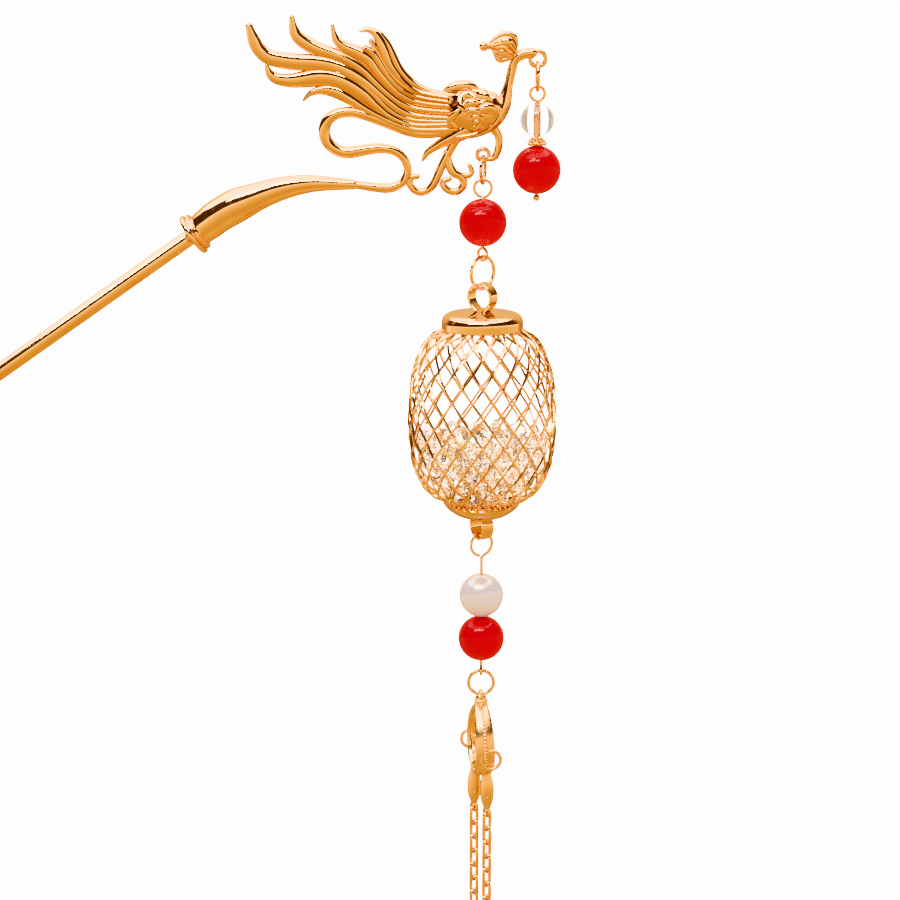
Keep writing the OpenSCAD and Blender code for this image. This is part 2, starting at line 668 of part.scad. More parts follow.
// The loose crystals, in circles inside the net, each turned its own way
module crystals() {
    floor_z = net_low_z + net_seat - dish_h + dish_wall;
    color("white")
        for (layer = [0 : len(crystal_layers) - 1])
            let (
                z = floor_z + crystal_layers[layer] * crystal_d,
                // The net leans in below, so its inside is taken a little lower
                outer_r = lookup(z - net_low_z - 0.25 * crystal_d, net_inner)
                    - crystal_room * crystal_d
            )
            for (circle = [0 : floor(outer_r / (crystal_d * crystal_step))])
                let (
                    r = outer_r - circle * crystal_d * crystal_step,
                    count = r < crystal_d * 0.6 ? 1
                        : floor(180 / asin(crystal_step / 2 * crystal_d / r))
                )
                for (i = [0 : count - 1])
                    translate([drop_x, 0, z])
                        rotate([0, 0, 360 * (i + layer * 0.37) / count])
                            translate([count == 1 ? 0 : r, 0, 0])
                                rotate([137 * i + 60 * layer, 71 * i + 40 * circle, 0])
                                    crystal(crystal_d);
}

// The dish under the net, with its beaded edge and the bail soldered under it
module lantern_dish() {
    beads = 36;
    color(gold)
        translate([drop_x, 0, 0]) {
            translate([0, 0, dish_low_z])
                rotate_extrude()
                    polygon([[0, 0], [dish_d * 0.22, 0], [dish_d * 0.37, dish_h * 0.35],
                        [dish_d * 0.47, dish_h * 0.75], [dish_d / 2, dish_h],
                        [net_low_r + 2 * fit, dish_h], [net_low_r + 2 * fit, dish_h - net_seat - fit],
                        [dish_d * 0.33, dish_h * 0.35 + dish_wall * 0.9],
                        [dish_d * 0.20, dish_wall], [0, dish_wall]]);
            for (i = [0 : beads - 1])
                rotate([0, 0, 360 * i / beads])
                    translate([(dish_d - dish_lip) / 2, 0, dish_low_z + dish_h])
                        sphere(d = lip_bead_d, $fn = 16);
            translate([0, 0, foot_bail_z])
                rotate([0, 0, foot_bail_turn])
                    rotate([180, 0, 0])
                        bail();
        }
}

module lower_eyepin() {
    eyepin(foot_loop_z, foot_loop_r, foot_loop_turn, end_loop_z, end_loop_r, 90);
}

module pearl() {
    color("bisque")
        bead(drop_x, pearl_z, pearl_d);
}

module lower_red_bead() {
    color("red")
        bead(drop_x, lower_red_z, red_d);
}

module tassel_ring() {
    color(gold)
        translate([drop_x, 0, tassel_ring_z])
            ring(tassel_ring_r, ring_wire);
}

// Rim of one half of the charm, from its neck to its foot, as shares of half its width
// and of its height
charm_rim = [[0.00, -0.130], [0.34, -0.200], [0.80, -0.370], [1.00, -0.600], [0.88, -0.800],
    [0.48, -0.930], [0.00, -0.985]];
// Inner curls of one half of the charm
charm_curls = [
    [[0.00, -0.190], [0.26, -0.350], [0.62, -0.500], [0.60, -0.650], [0.32, -0.660],
     [0.30, -0.570]],
    [[0.00, -0.900], [0.26, -0.820], [0.62, -0.800], [0.94, -0.640]]
];

// A point of the charm from its shares, on one side of its middle
function on_charm(p, side) = [side * p[0] * charm_w / 2, 0, p[1] * charm_h];

// Steps of the beaded line round the charm's rim
charm_grains = 9;

// The openwork charm: eye, neck, beaded rim, curls, side rings and two leaves with eyes
module tassel_charm() {
    rim_w = 1.0;
    curl_w = 0.8;
    grain = 0.62;
    charm_bar = 0.6;
    grain_path = smooth([for (p = charm_rim) [p[0] * 1.09, -0.55 + (p[1] + 0.55) * 1.04]], 2);
    color(gold)
        translate([drop_x, 0, charm_z]) {
            rotate([0, 0, charm_turn]) {
                translate([0, 0, (ring_wire + charm_bar) / 2 + fit - charm_eye_r])
                    ring(charm_eye_r, charm_bar, $fn = 12);
                hull() {
                    translate([0, 0, -charm_eye_r * 1.2])
                        sphere(d = 1.2, $fn = 8);
                    translate([0, 0, -charm_h * 0.15])
                        sphere(d = 2.1, $fn = 8);
                }
                for (side = [-1, 1]) {
                    bar(smooth([for (p = charm_rim) on_charm(p, side)], 2),
                        [rim_w, rim_w],
                        [charm_t * 0.5, charm_t * 0.8, charm_t, charm_t, charm_t * 0.8]);
                    for (c = charm_curls)
                        bar(smooth([for (p = c) on_charm(p, side)], 2),
                            [curl_w, curl_w], [charm_t * 0.7, charm_t * 0.7]);
                    for (i = [2 : charm_grains])
                        hull() {
                            translate(on_charm(grain_path[i], side))
                                sphere(d = grain, $fn = 5);
                            translate(on_charm(grain_path[i], side) * 0.94)
                                sphere(d = grain / 2, $fn = 4);
                        }
                    translate([side * charm_w * 0.52, side * ear_d * 0.30, -charm_h * 0.70])
                        ring(ear_d / 2, link_wire, 90, $fn = 12);
                }
            }
            for (p = leaf_at) {
                leaf(p);
                translate([p[0], p[1], chain_top_z - charm_z - (link_wire + fit) / 2 + leaf_eye_r])
                    ring(leaf_eye_r, link_wire, chain_turn + 90, $fn = 12);
            }
        }
}

// A puffy leaf under the charm, from its foot to the chain's eye
module leaf(p) {
    eye_top = chain_top_z - charm_z + 2 * leaf_eye_r + 0.1;
    top = -charm_h * 0.90;
    hull() {
        translate([p[0] * 0.5, p[1] * 0.5, top])
            sphere(d = 1.1, $fn = 8);
        translate([p[0], p[1], mix([top, eye_top], 0.45)])
            sphere(d = 2.1, $fn = 8);
    }
    hull() {
        translate([p[0], p[1], mix([top, eye_top], 0.45)])
            sphere(d = 2.1, $fn = 8);
        translate([p[0], p[1], eye_top])
            sphere(d = 1.3, $fn = 8);
    }
}

// A chain link: an oval of round wire in the plane XZ, its middle at the origin
module link() {
    r = (link_w - link_wire) / 2;
    run = link_l - link_w;
    for (side = [-1, 1]) {
        translate([side * r, 0, -run / 2])
            cylinder(h = run, d = link_wire);
        translate([0, 0, side * run / 2])
            rotate([90, 0, 0])
                rotate_extrude(angle = 180 * side)
                    translate([r, 0])
                        circle(d = link_wire);
    }
}

// A chain of links under a leaf of the charm, turned in turn
module chain(place) {
    step = link_l - 2 * link_wire - fit;
    color(gold)
        for (i = [0 : links - 1])
            translate([drop_x + place[0], place[1], chain_top_z - (i + 0.5) * step])
                rotate([0, 0, chain_turn + 90 * (i % 2)])
                    link();
}

module chain_left() {
    chain(leaf_at[0]);
}

module chain_right() {
    chain(leaf_at[1]);
}

pin();
stem_socket();
phoenix();
beak_ring();
beak_headpin();
glass_bead();
bead_cap();
beak_red_bead();
hook_ring();
upper_eyepin();
upper_red_bead();
lantern_ring();
lantern_cap();
lantern_net();
crystals();
lantern_dish();
lower_eyepin();
pearl();
lower_red_bead();
tassel_ring();
tassel_charm();
chain_left();
chain_right();
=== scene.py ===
"""Looks of the buyao hairpin: a gold pin with a cast phoenix, a beak drop and a long hanging drop.

The shapes are worked out in millimetres from the same named sizes as the part's source, in the
part's frame: +X towards the beak, -Y is the show side, +Z is up. Meshes are stored in metres.
"""

from math import asin, atan2, cos, floor, hypot, pi, radians, sin, sqrt

import bmesh
import bpy
from mathutils import Matrix, Vector


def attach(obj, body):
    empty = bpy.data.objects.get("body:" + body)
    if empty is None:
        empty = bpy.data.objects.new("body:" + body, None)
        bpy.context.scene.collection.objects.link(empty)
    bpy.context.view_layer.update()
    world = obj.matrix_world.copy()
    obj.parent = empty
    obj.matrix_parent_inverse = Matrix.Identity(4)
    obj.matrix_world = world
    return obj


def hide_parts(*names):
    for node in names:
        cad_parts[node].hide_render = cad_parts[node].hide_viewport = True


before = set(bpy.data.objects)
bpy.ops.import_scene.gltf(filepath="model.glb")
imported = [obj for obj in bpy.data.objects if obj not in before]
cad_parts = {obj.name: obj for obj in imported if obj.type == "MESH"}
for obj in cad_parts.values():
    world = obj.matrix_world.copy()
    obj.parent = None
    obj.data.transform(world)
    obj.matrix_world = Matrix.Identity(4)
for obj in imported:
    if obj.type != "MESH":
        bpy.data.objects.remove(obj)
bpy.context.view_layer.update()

MM = 0.001
scene = bpy.context.scene

# Pin and socket
PIN_L = 110.0
PIN_D = 2.7
PIN_TIP_D = 1.3
PIN_TAPER_L = 26.0
PIN_SLOPE = 34.8
COLLAR_D = 7.1
SOCKET_D = 5.5
STEM_D = 1.35

# Phoenix
BIRD_W = 48.6
BIRD_H = 29.2
BIRD_T = 5.6
FEATHER_W = 2.3
FEATHER_T = 2.0
SCROLL_D = 1.25
EYE_BAR = 0.7
HANG_EYE_D = 1.9
BEAK_EYE_D = 2.45

# Rings, wires and beads
RING_WIRE = 0.6
PIN_WIRE = 0.5
HOOK_RING_D = 4.34
BEAK_RING_D = 4.4
LANTERN_RING_D = 5.3
TASSEL_RING_D = 4.3
FIT = 0.05
RED_D = 7.8
PEARL_D = 7.5
GLASS_D = 5.5
BEAD_BORE = 0.8
BEAD_CAP_D = 3.2
BEAD_CAP_H = 1.3

# Lantern
CAP_D = 13.5
CAP_SKIRT = 1.1
CAP_RISE = 2.1
CAP_SINK = 1.3
CAGE_D = 24.8
CAGE_H = 30.8
CAGE_WALL = 0.6
DISH_D = 13.0
DISH_H = 2.6
BAIL_D = 4.8
BAIL_W = 2.1
BAIL_T = 0.45
BAIL_EDGE = 0.08
CRYSTAL_D = 3.7
CAP_WALL = 0.5
DISH_WALL = 0.5
DISH_LIP = 0.9
LIP_BEAD_D = 0.65
LIP_BEADS = 36

# Tassel
CHARM_W = 10.0
CHARM_H = 14.5
CHARM_T = 3.4
EAR_D = 3.3
LEAF_H = 7.3
LINK_L = 3.9
LINK_W = 2.1
LINK_WIRE = 0.6
LINKS = 7
CHAIN_TURN = 45

# Points on the phoenix are given in thousandths of its width and height
COLLAR_AT = (-191, -223)


def at(p):
    """The place in the part's frame of a point on the phoenix."""
    x, z = [v / 1000 - c / 1000 for v, c in zip(p, COLLAR_AT)]
    return Vector((x * BIRD_W, 0, z * BIRD_H))


HANG_EYE = at((787, 229))
BEAK_EYE = at((966, 751))
HANG_STEP = (EYE_BAR + RING_WIRE) / 2 + FIT
LOOP_STEP = (RING_WIRE + PIN_WIRE) / 2 + FIT

# Main drop: each height follows from the piece above
DROP_X = HANG_EYE.x
HOOK_RING_R = HOOK_RING_D / 2
HOOK_RING_Z = HANG_EYE.z - HANG_EYE_D / 2 + HANG_STEP - HOOK_RING_R
UPPER_LOOP_R = 1.4
UPPER_LOOP_Z = HOOK_RING_Z - HOOK_RING_R + LOOP_STEP - UPPER_LOOP_R
RED_TOP_Z = UPPER_LOOP_Z - UPPER_LOOP_R - PIN_WIRE / 2 - FIT
UPPER_RED_Z = RED_TOP_Z - RED_D / 2
LOWER_LOOP_R = 1.0
LOWER_LOOP_Z = UPPER_RED_Z - RED_D / 2 - FIT - PIN_WIRE / 2 - LOWER_LOOP_R
LANTERN_RING_R = LANTERN_RING_D / 2
LANTERN_RING_Z = LOWER_LOOP_Z - LOWER_LOOP_R + LOOP_STEP - LANTERN_RING_R
BAIL_R = BAIL_D / 2


def band_seat(inner_r):
    """How deep a band of the bails' width sits in a ring."""
    return sqrt(inner_r ** 2 - (BAIL_W / 2) ** 2) - FIT


BAIL_Z = LANTERN_RING_Z - band_seat(LANTERN_RING_R - RING_WIRE / 2) + BAIL_T - BAIL_R
BAIL_TIP = BAIL_R * sqrt(2)
CAP_TOP_Z = BAIL_Z - BAIL_TIP + CAP_SINK
CAP_RIM_Z = CAP_TOP_Z - CAP_RISE - CAP_SKIRT
NET_SEAT = 0.6
NET_TOP_Z = CAP_RIM_Z + NET_SEAT
NET_LOW_Z = NET_TOP_Z - CAGE_H
DISH_LOW_Z = NET_LOW_Z + NET_SEAT - DISH_H
NET_TOP_R = CAP_D / 2 - CAP_WALL - 2 * FIT
NET_LOW_R = DISH_D / 2 - DISH_LIP
TOP_COLLAR = NET_SEAT + 2 * FIT
LOW_COLLAR = NET_SEAT + LIP_BEAD_D / 2 + 2 * FIT
FOOT_SINK = 1.8
FOOT_BAIL_Z = DISH_LOW_Z + FOOT_SINK - BAIL_TIP
FOOT_LOOP_R = 2.0
FOOT_LOOP_Z = FOOT_BAIL_Z - BAIL_R + BAIL_T - band_seat(FOOT_LOOP_R - PIN_WIRE / 2)
FOOT_WIRE_L = 3.3
PEARL_Z = FOOT_LOOP_Z - FOOT_LOOP_R - FOOT_WIRE_L - PEARL_D / 2
LOWER_RED_Z = PEARL_Z - (PEARL_D + RED_D) / 2 - FIT
END_LOOP_R = 0.7
END_WIRE_L = 1.0
END_LOOP_Z = LOWER_RED_Z - RED_D / 2 - END_WIRE_L - PIN_WIRE / 2 - END_LOOP_R
TASSEL_RING_R = TASSEL_RING_D / 2
TASSEL_RING_Z = END_LOOP_Z - END_LOOP_R + LOOP_STEP - TASSEL_RING_R

# Beak drop
BEAK_X = BEAK_EYE.x
BEAK_RING_R = BEAK_RING_D / 2
BEAK_RING_Z = BEAK_EYE.z - BEAK_EYE_D / 2 + HANG_STEP - BEAK_RING_R
BEAK_LOOP_R = 1.15
BEAK_LOOP_Z = BEAK_RING_Z - BEAK_RING_R + LOOP_STEP - BEAK_LOOP_R
GLASS_Z = BEAK_LOOP_Z - BEAK_LOOP_R - PIN_WIRE / 2 - FIT - GLASS_D / 2
BEAD_CAP_Z = GLASS_Z - GLASS_D / 2 - FIT - BEAD_CAP_H
BEAK_RED_Z = BEAD_CAP_Z - RED_D / 2
HEAD_D = 1.1
HEAD_Z = BEAK_RED_Z - RED_D / 2 - FIT - HEAD_D / 2

# Charm, leaves and chains
CHARM_Z = TASSEL_RING_Z - TASSEL_RING_R
CHARM_TURN = -82
CHARM_EYE_R = 0.8
LEAF_AT = ((-1.1, 1.25), (1.1, -1.25))
LEAF_EYE_R = 0.7
CHAIN_TOP_Z = CHARM_Z - CHARM_H - LEAF_H

# Turns about the upright, in degrees
HOOK_TURN = 80
RING_TURN = 45
BAIL_TURN = -35
FOOT_BAIL_TURN = -62
FOOT_LOOP_TURN = 28


def smooth(points, n):
    """A smooth curve through a row of points, with n steps between neighbours."""
    last = len(points) - 1
    row = []
    for i in range(last):
        a, b = points[max(i - 1, 0)], points[i]
        c, d = points[i + 1], points[min(i + 2, last)]
        for k in range(n):
            t = k / n
            row.append(0.5 * (2 * b + (c - a) * t + (2 * a - 5 * b + 4 * c - d) * t * t
                              + (3 * b - 3 * c + d - a) * t ** 3))
    return row + [points[last]]


def bird_path(points, n=8):
    """A smooth curve through points on the phoenix."""
    return smooth([at(p) for p in points], n)


def ease(values, t):
    """A value between the entries of a short list, at a share of its length, with no corners."""
    row = [v.x for v in smooth([Vector((v, 0, 0)) for v in values], 8)]
    last = len(row) - 1
    if last == 0:
        return row[0]
    i = min(int(t * last), last - 1)
    f = t * last - i
    return row[i] * (1 - f) + row[i + 1] * f


def lookup(x, table):
    """A value between the rows (x, value) of a table."""
    if x <= table[0][0]:
        return table[0][1]
    for (x0, v0), (x1, v1) in zip(table, table[1:]):
        if x <= x1:
            return v0 + (v1 - v0) * (x - x0) / (x1 - x0)
    return table[-1][1]


def turned(points, degrees, place):
    """Points turned about Z and moved to their place."""
    c, s = cos(radians(degrees)), sin(radians(degrees))
    return [Vector((p[0] * c - p[1] * s + place[0], p[0] * s + p[1] * c + place[1],
                    p[2] + place[2])) for p in points]


def scaled(values, size):
    return [v * size for v in values]


def circle(n, r=1.0, shift=0.0):
    """Points spread evenly round a circle, the first one shifted by a share of a step."""
    angles = [2 * pi * (k + shift) / n for k in range(n)]
    return [(r * cos(a), r * sin(a)) for a in angles]


def arc(r, first, reach, steps, count=None):
    """Points round the origin in the plane XZ, from an angle over a reach of degrees."""
    angles = [radians(first + reach * i / steps) for i in range(count or steps + 1)]
    return [Vector((r * cos(a), 0, r * sin(a))) for a in angles]


def new_object(name, data):
    obj = bpy.data.objects.new(name, data)
    scene.collection.objects.link(obj)
    return obj


class Shape:
    """Vertices in millimetres and faces of one piece, grown form by form."""

    def __init__(self):
        self.verts = []
        self.faces = []

    def add(self, verts, faces):
        base = len(self.verts)
        self.verts += [Vector(v) for v in verts]
        self.faces += [[base + i for i in face] for face in faces]

    def rings(self, rows, closed=False):
        """Skins rows of points that all have the same number of points."""
        n = len(rows[0])
        verts = [p for row in rows for p in row]
        faces = []
        steps = len(rows) if closed else len(rows) - 1
        for i in range(steps):
            j = (i + 1) % len(rows)
            for k in range(n):
                m = (k + 1) % n
                faces.append([i * n + k, j * n + k, j * n + m, i * n + m])
        if not closed:
            faces.append(list(range(n)))
            faces.append([(len(rows) - 1) * n + k for k in reversed(range(n))])
        self.add(verts, faces)

    def sweep(self, path, widths, depths=None, sides=14, closed=False, blunt=(False, False)):
        """A bar along a path: its width lies in the plane XZ, its depth along Y.

        An end that isn't blunt is rounded off.
        """
        depths = depths or widths
        side = Vector((0, 1, 0))
        last = len(path) - 1
        rows = []
        for i, p in enumerate(path):
            if closed:
                t = path[(i + 1) % len(path)] - path[i - 1]
            else:
                t = path[min(i + 1, last)] - path[max(i - 1, 0)]
            t = t.normalized()
            n = side.cross(t).normalized()
            b = t.cross(n)
            f = i / len(path) if closed else i / last
            w, d = ease(widths, f) / 2, ease(depths, f) / 2
            rows.append((p, n, b, t, w, d))
        for end, way in ((0, -1), (-1, 1)):
            if closed or blunt[end]:
                continue
            p, n, b, t, w, d = rows[end]
            cap = []
            for angle in range(12, 89, 11):
                s, c = sin(radians(angle)), cos(radians(angle))
                cap.append((p + t * (min(w, d) * way) * s, n, b, t, w * c, d * c))
            rows = rows + cap if end else cap[::-1] + rows
        self.rings([[p + n * w * c - b * d * s for c, s in circle(sides)]
                    for p, n, b, t, w, d in rows], closed=closed)

    def torus(self, place, r, wire, turn=0.0, split=0.0, start=90.0, steps=72):
        """A ring of round wire in the plane XZ, turned about Z, with a cut if split is given."""
        path = arc(r, start + split / 2, 360 - split, steps, steps + 1 if split else steps)
        part = Shape()
        part.sweep(path, [wire], sides=16, closed=not split, blunt=(True, True))
        self.join(part, turn, place)

    def lathe(self, outline, place=(0, 0, 0), segments=96):
        """Turns a closed outline of (radius, height) points about Z."""
        verts, index = [], []
        for r, z in outline:
            if r < 1e-6:
                index.append([len(verts)] * segments)
                verts.append(Vector((0, 0, z)) + Vector(place))
            else:
                index.append(list(range(len(verts), len(verts) + segments)))
                verts += [Vector((x, y, z)) + Vector(place) for x, y in circle(segments, r)]
        faces = []
        for i, row in enumerate(index):
            other = index[(i + 1) % len(index)]
            if len(set(row)) == 1 and len(set(other)) == 1:
                continue
            for k in range(segments):
                m = (k + 1) % segments
                faces.append(list(dict.fromkeys((row[k], row[m], other[m], other[k]))))
        self.add(verts, faces)

    def collar(self, place, r, wire):
        """A level ring of round wire."""
        self.lathe([(r + x, z) for x, z in circle(12, wire / 2)], place, 36)

    def ball(self, place, size, segments=20, rows=12):
        """An ellipsoid of the given diameters."""
        size = Vector(size if hasattr(size, "__len__") else (size,) * 3) / 2
        verts, faces = [Vector((0, 0, -1))], []
        for i in range(1, rows):
            a = -pi / 2 + pi * i / rows
            verts += [Vector((x, y, sin(a))) for x, y in circle(segments, cos(a))]
        verts.append(Vector((0, 0, 1)))
        top = len(verts) - 1
        for k in range(segments):
            m = (k + 1) % segments
            faces.append([0, 1 + m, 1 + k])
            faces.append([top, top - segments + k, top - segments + m])
            for i in range(rows - 2):
                a, b = 1 + i * segments, 1 + (i + 1) * segments
                faces.append([a + k, a + m, b + m, b + k])
        self.add([Vector((v.x * size.x, v.y * size.y, v.z * size.z)) + Vector(place)
                  for v in verts], faces)

    def join(self, other, degrees, place):
        """Adds a form, turned about Z and moved to its place."""
        self.add(turned(other.verts, degrees, place), other.faces)

    def piece(self, name, body, nodes, material, sharp=35.0, flat=False):
        """Makes the object, rides it on its body and lets it stand for its CAD nodes."""
        mesh = bpy.data.meshes.new(name)
        mesh.from_pydata([v * MM for v in self.verts], [], self.faces)
        mesh.update()
        if not flat:
            mesh.shade_smooth()
            mesh.set_sharp_from_angle(angle=radians(sharp))
        mesh.materials.append(material)
        obj = new_object(name, mesh)
        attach(obj, body)
        if nodes:
            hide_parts(*nodes)
        return obj

    def gold(self, name, body, material):
        """Makes the object that stands for the CAD node of its name, in gold."""
        self.piece(name, body, [name], material)


# Materials
def feed(tree, node, inputs):
    """Sets a node's inputs by name or number: a socket is linked, a value is set."""
    for name, value in inputs.items():
        if isinstance(value, bpy.types.NodeSocket):
            tree.links.new(value, node.inputs[name])
        else:
            node.inputs[name].default_value = value


def add_node(tree, kind, inputs=None, operation=None):
    """A new node with its inputs fed."""
    node = tree.nodes.new(kind)
    if operation:
        node.operation = operation
    feed(tree, node, inputs or {})
    return node


def noise(tree, scale, detail=3.0):
    """Noise in the object's own coordinates, so that it keeps its place in every view."""
    coords = add_node(tree, "ShaderNodeTexCoord").outputs["Object"]
    noise_inputs = {"Scale": scale, "Detail": detail, "Vector": coords}
    return add_node(tree, "ShaderNodeTexNoise", noise_inputs).outputs["Fac"]


def ramp(tree, source, stops):
    """A ramp from (place, colour) stops."""
    node = add_node(tree, "ShaderNodeValToRGB", {"Fac": source})
    elements = node.color_ramp.elements
    while len(elements) < len(stops):
        elements.new(0.5)
    for element, (place, colour) in zip(elements, stops):
        element.position = place
        element.color = (*colour, 1)
    return node.outputs["Color"]


def grey(v):
    return (v, v, v)


def between(tree, source, values, places=(0.3, 0.8)):
    """A level that sways between two values."""
    return ramp(tree, source, [(place, grey(v)) for place, v in zip(places, values)])


def new_material(name):
    mat = bpy.data.materials.new(name)
    mat.use_nodes = True
    return mat, mat.node_tree, mat.node_tree.nodes["Principled BSDF"]


def gold_material(name, light, deep, rough=(0.05, 0.13), bump=0.02):
    """Polished gold plate: slight changes of tone, of polish and of level."""
    mat, tree, shader = new_material(name)
    polish = noise(tree, 900.0, 4.0)
    level = add_node(tree, "ShaderNodeBump", {"Strength": bump, "Distance": 0.0001,
                                              "Height": polish})
    feed(tree, shader, {
        "Metallic": 1.0,
        "Base Color": ramp(tree, noise(tree, 140.0), ((0.3, deep), (0.7, light))),
        "Roughness": between(tree, polish, rough, (0.35, 0.75)),
        "Normal": level.outputs["Normal"]})
    return mat


def bead_material(name, light, deep, specular, rough):
    """Glossy dyed stone or glass paste with a little unevenness."""
    mat, tree, shader = new_material(name)
    feed(tree, shader, {
        "Base Color": ramp(tree, noise(tree, 220.0), ((0.3, deep), (0.75, light))),
        "Roughness": between(tree, noise(tree, 1500.0), rough),
        "Specular IOR Level": specular})
    return mat


# From the pearl's underside to its top, cream to pink-white: its own tone with painted light, a
# warm painted reflection below and a paler painted light on top
PEARL_TONES_PAINTED_LIGHT = ((0.10, (0.90, 0.64, 0.42)), (0.45, (0.88, 0.69, 0.52)), (0.72, (0.86, 0.72, 0.62)),
               (0.93, (0.86, 0.76, 0.73)), (1.0, (0.87, 0.74, 0.67)))
PEARL_PATCHES = 0.30


def pearl_material(low, high):
    """Pearl: its tone follows the height as painted light, paler on top and warmer below, with soft
    patches and a lustre over them.
    """
    mat, tree, shader = new_material("pearl_nacre")
    coords = add_node(tree, "ShaderNodeTexCoord").outputs["Object"]
    split = add_node(tree, "ShaderNodeSeparateXYZ", {0: coords})
    height = add_node(tree, "ShaderNodeMapRange", {
        "Value": split.outputs["Z"], "From Min": low * MM, "From Max": high * MM})
    shifted = add_node(tree, "ShaderNodeMath", {
        0: noise(tree, 420.0, 2.0), 1: PEARL_PATCHES, 2: height.outputs["Result"]}, "MULTIPLY_ADD")
    feed(tree, shader, {
        "Base Color": ramp(tree, shifted.outputs[0], PEARL_TONES_PAINTED_LIGHT),
        "Roughness": between(tree, noise(tree, 1200.0), (0.17, 0.26)),
        "Specular IOR Level": 0.78,
        "Sheen Weight": 0.15,
        "Sheen Tint": (1.0, 0.80, 0.80, 1)})
    return mat


def clear_material(name, tint, ior, rough):
    """Clear glass with faint streaks in its polish."""
    mat, tree, shader = new_material(name)
    streaks = noise(tree, 500.0)
    feed(tree, shader, {
        "Base Color": ramp(tree, streaks, ((0.3, tint), (0.8, grey(1.0)))),
        "Roughness": between(tree, streaks, rough),
        "Transmission Weight": 1.0,
        "IOR": ior})
    return mat


GOLD = gold_material("gold_polished", (0.93, 0.60, 0.28), (0.89, 0.54, 0.23))
GOLD_CAST = gold_material("gold_cast", (0.92, 0.58, 0.26), (0.87, 0.51, 0.21), (0.05, 0.12), 0.04)
# Near-black gold for painted shade: the sheet that stands for the shade in the phoenix's gap
GOLD_PAINTED_SHADE = gold_material("gold_painted_shade", (0.030, 0.008, 0.004), (0.012, 0.003, 0.002),
                          (0.2, 0.35), 0.3)
GOLD_WIRE = gold_material("gold_wire", (0.94, 0.62, 0.30), (0.89, 0.54, 0.24), (0.08, 0.15))
GOLD_SATIN = gold_material("gold_satin", (0.92, 0.60, 0.28), (0.86, 0.50, 0.20), (0.22, 0.34), 0.08)
RED = bead_material("red_glass_paste", (0.80, 0.008, 0.008), (0.72, 0.004, 0.006), 0.12,
                    (0.13, 0.17))
PEARL = pearl_material(PEARL_Z - PEARL_D / 2, PEARL_Z + PEARL_D / 2)
BORE = bead_material("glass_bore_frosted", (0.56, 0.30, 0.14), (0.42, 0.20, 0.09), 0.3, (0.4, 0.6))
GLASS = clear_material("clear_glass", grey(0.985), 1.5, (0.0, 0.01))
CRYSTAL = clear_material("crystal_stones", (1.0, 0.88, 0.74), 1.5, (0.0, 0.015))

# Pin: seated in the socket by its thinner end, with a bevel where the full thickness starts
SEAT_R = 1.05
SEAT_L = 6.0
BEVEL = 0.12
BEVEL_W = 0.08
TAPER_CURVE = 1.15


def lean_lathe(rows, degrees, segments):
    """A turned form whose axis is leant in the plane XZ."""
    form = Shape()
    form.lathe(rows, segments=segments)
    lean = Matrix.Rotation(radians(degrees), 3, "Y")
    form.verts = [lean @ v for v in form.verts]
    return form


def make_pin():
    r, start = PIN_D / 2, FIT * 2
    rows = [(0.0, -SEAT_L), (SEAT_R, -SEAT_L), (SEAT_R, start),
            (r - BEVEL_W, start), (r, start + BEVEL)]
    tip = PIN_TIP_D / 2
    for i in range(17):
        f = i / 16
        rows.append((r + (tip - r) * f ** TAPER_CURVE,
                     PIN_L - PIN_TAPER_L + (PIN_TAPER_L - tip) * f))
    rows += [(tip * cos(radians(a)), PIN_L - tip + tip * sin(radians(a)))
             for a in range(10, 90, 10)]
    pin = lean_lathe(rows + [(0.0, PIN_L)], -90 - PIN_SLOPE, 48)
    pin.gold("pin", "root", GOLD)


SOCKET_PATH = ((-166, -194), (-127, -146), (-93, -104), (-30, -47), (42, 2), (110, 40), (177, 62),
               (244, 70), (354, 64))
SOCKET_WIDTHS = (0.92, 1, 1.02, 1.02, 0.82, 0.70, 0.58, 0.46, 0.30)


# Collar: how far inside its radius and how high. A raised lip, a groove and a second ring
COLLAR_FORM = ((0.55, 0.0), (0.42, 0.08), (0.22, 0.05), (0.06, 0.16), (0, 0.34), (0, 0.62),
               (0.10, 0.78), (0.34, 0.86), (0.52, 0.92), (0.56, 1.06), (0.40, 1.16), (0.30, 1.34),
               (0.38, 1.56), (0.62, 1.66))


def make_socket():
    bore = SEAT_R + FIT
    rows = [(bore, SEAT_L), (bore, BEVEL), (bore + BEVEL, 0.0)]
    rows += [(COLLAR_D / 2 - inside, z) for inside, z in COLLAR_FORM]
    rows += [(SOCKET_D * 0.47, 1.78), (SOCKET_D * 0.47, 3.0), (SOCKET_D * 0.40, SEAT_L)]
    part = lean_lathe(rows, 90 - PIN_SLOPE, 96)
    part.sweep(bird_path(SOCKET_PATH, 6), scaled(SOCKET_WIDTHS, SOCKET_D), sides=40,
               blunt=(True, False))
    part.gold("stem_socket", "root", GOLD)


make_pin()
make_socket()

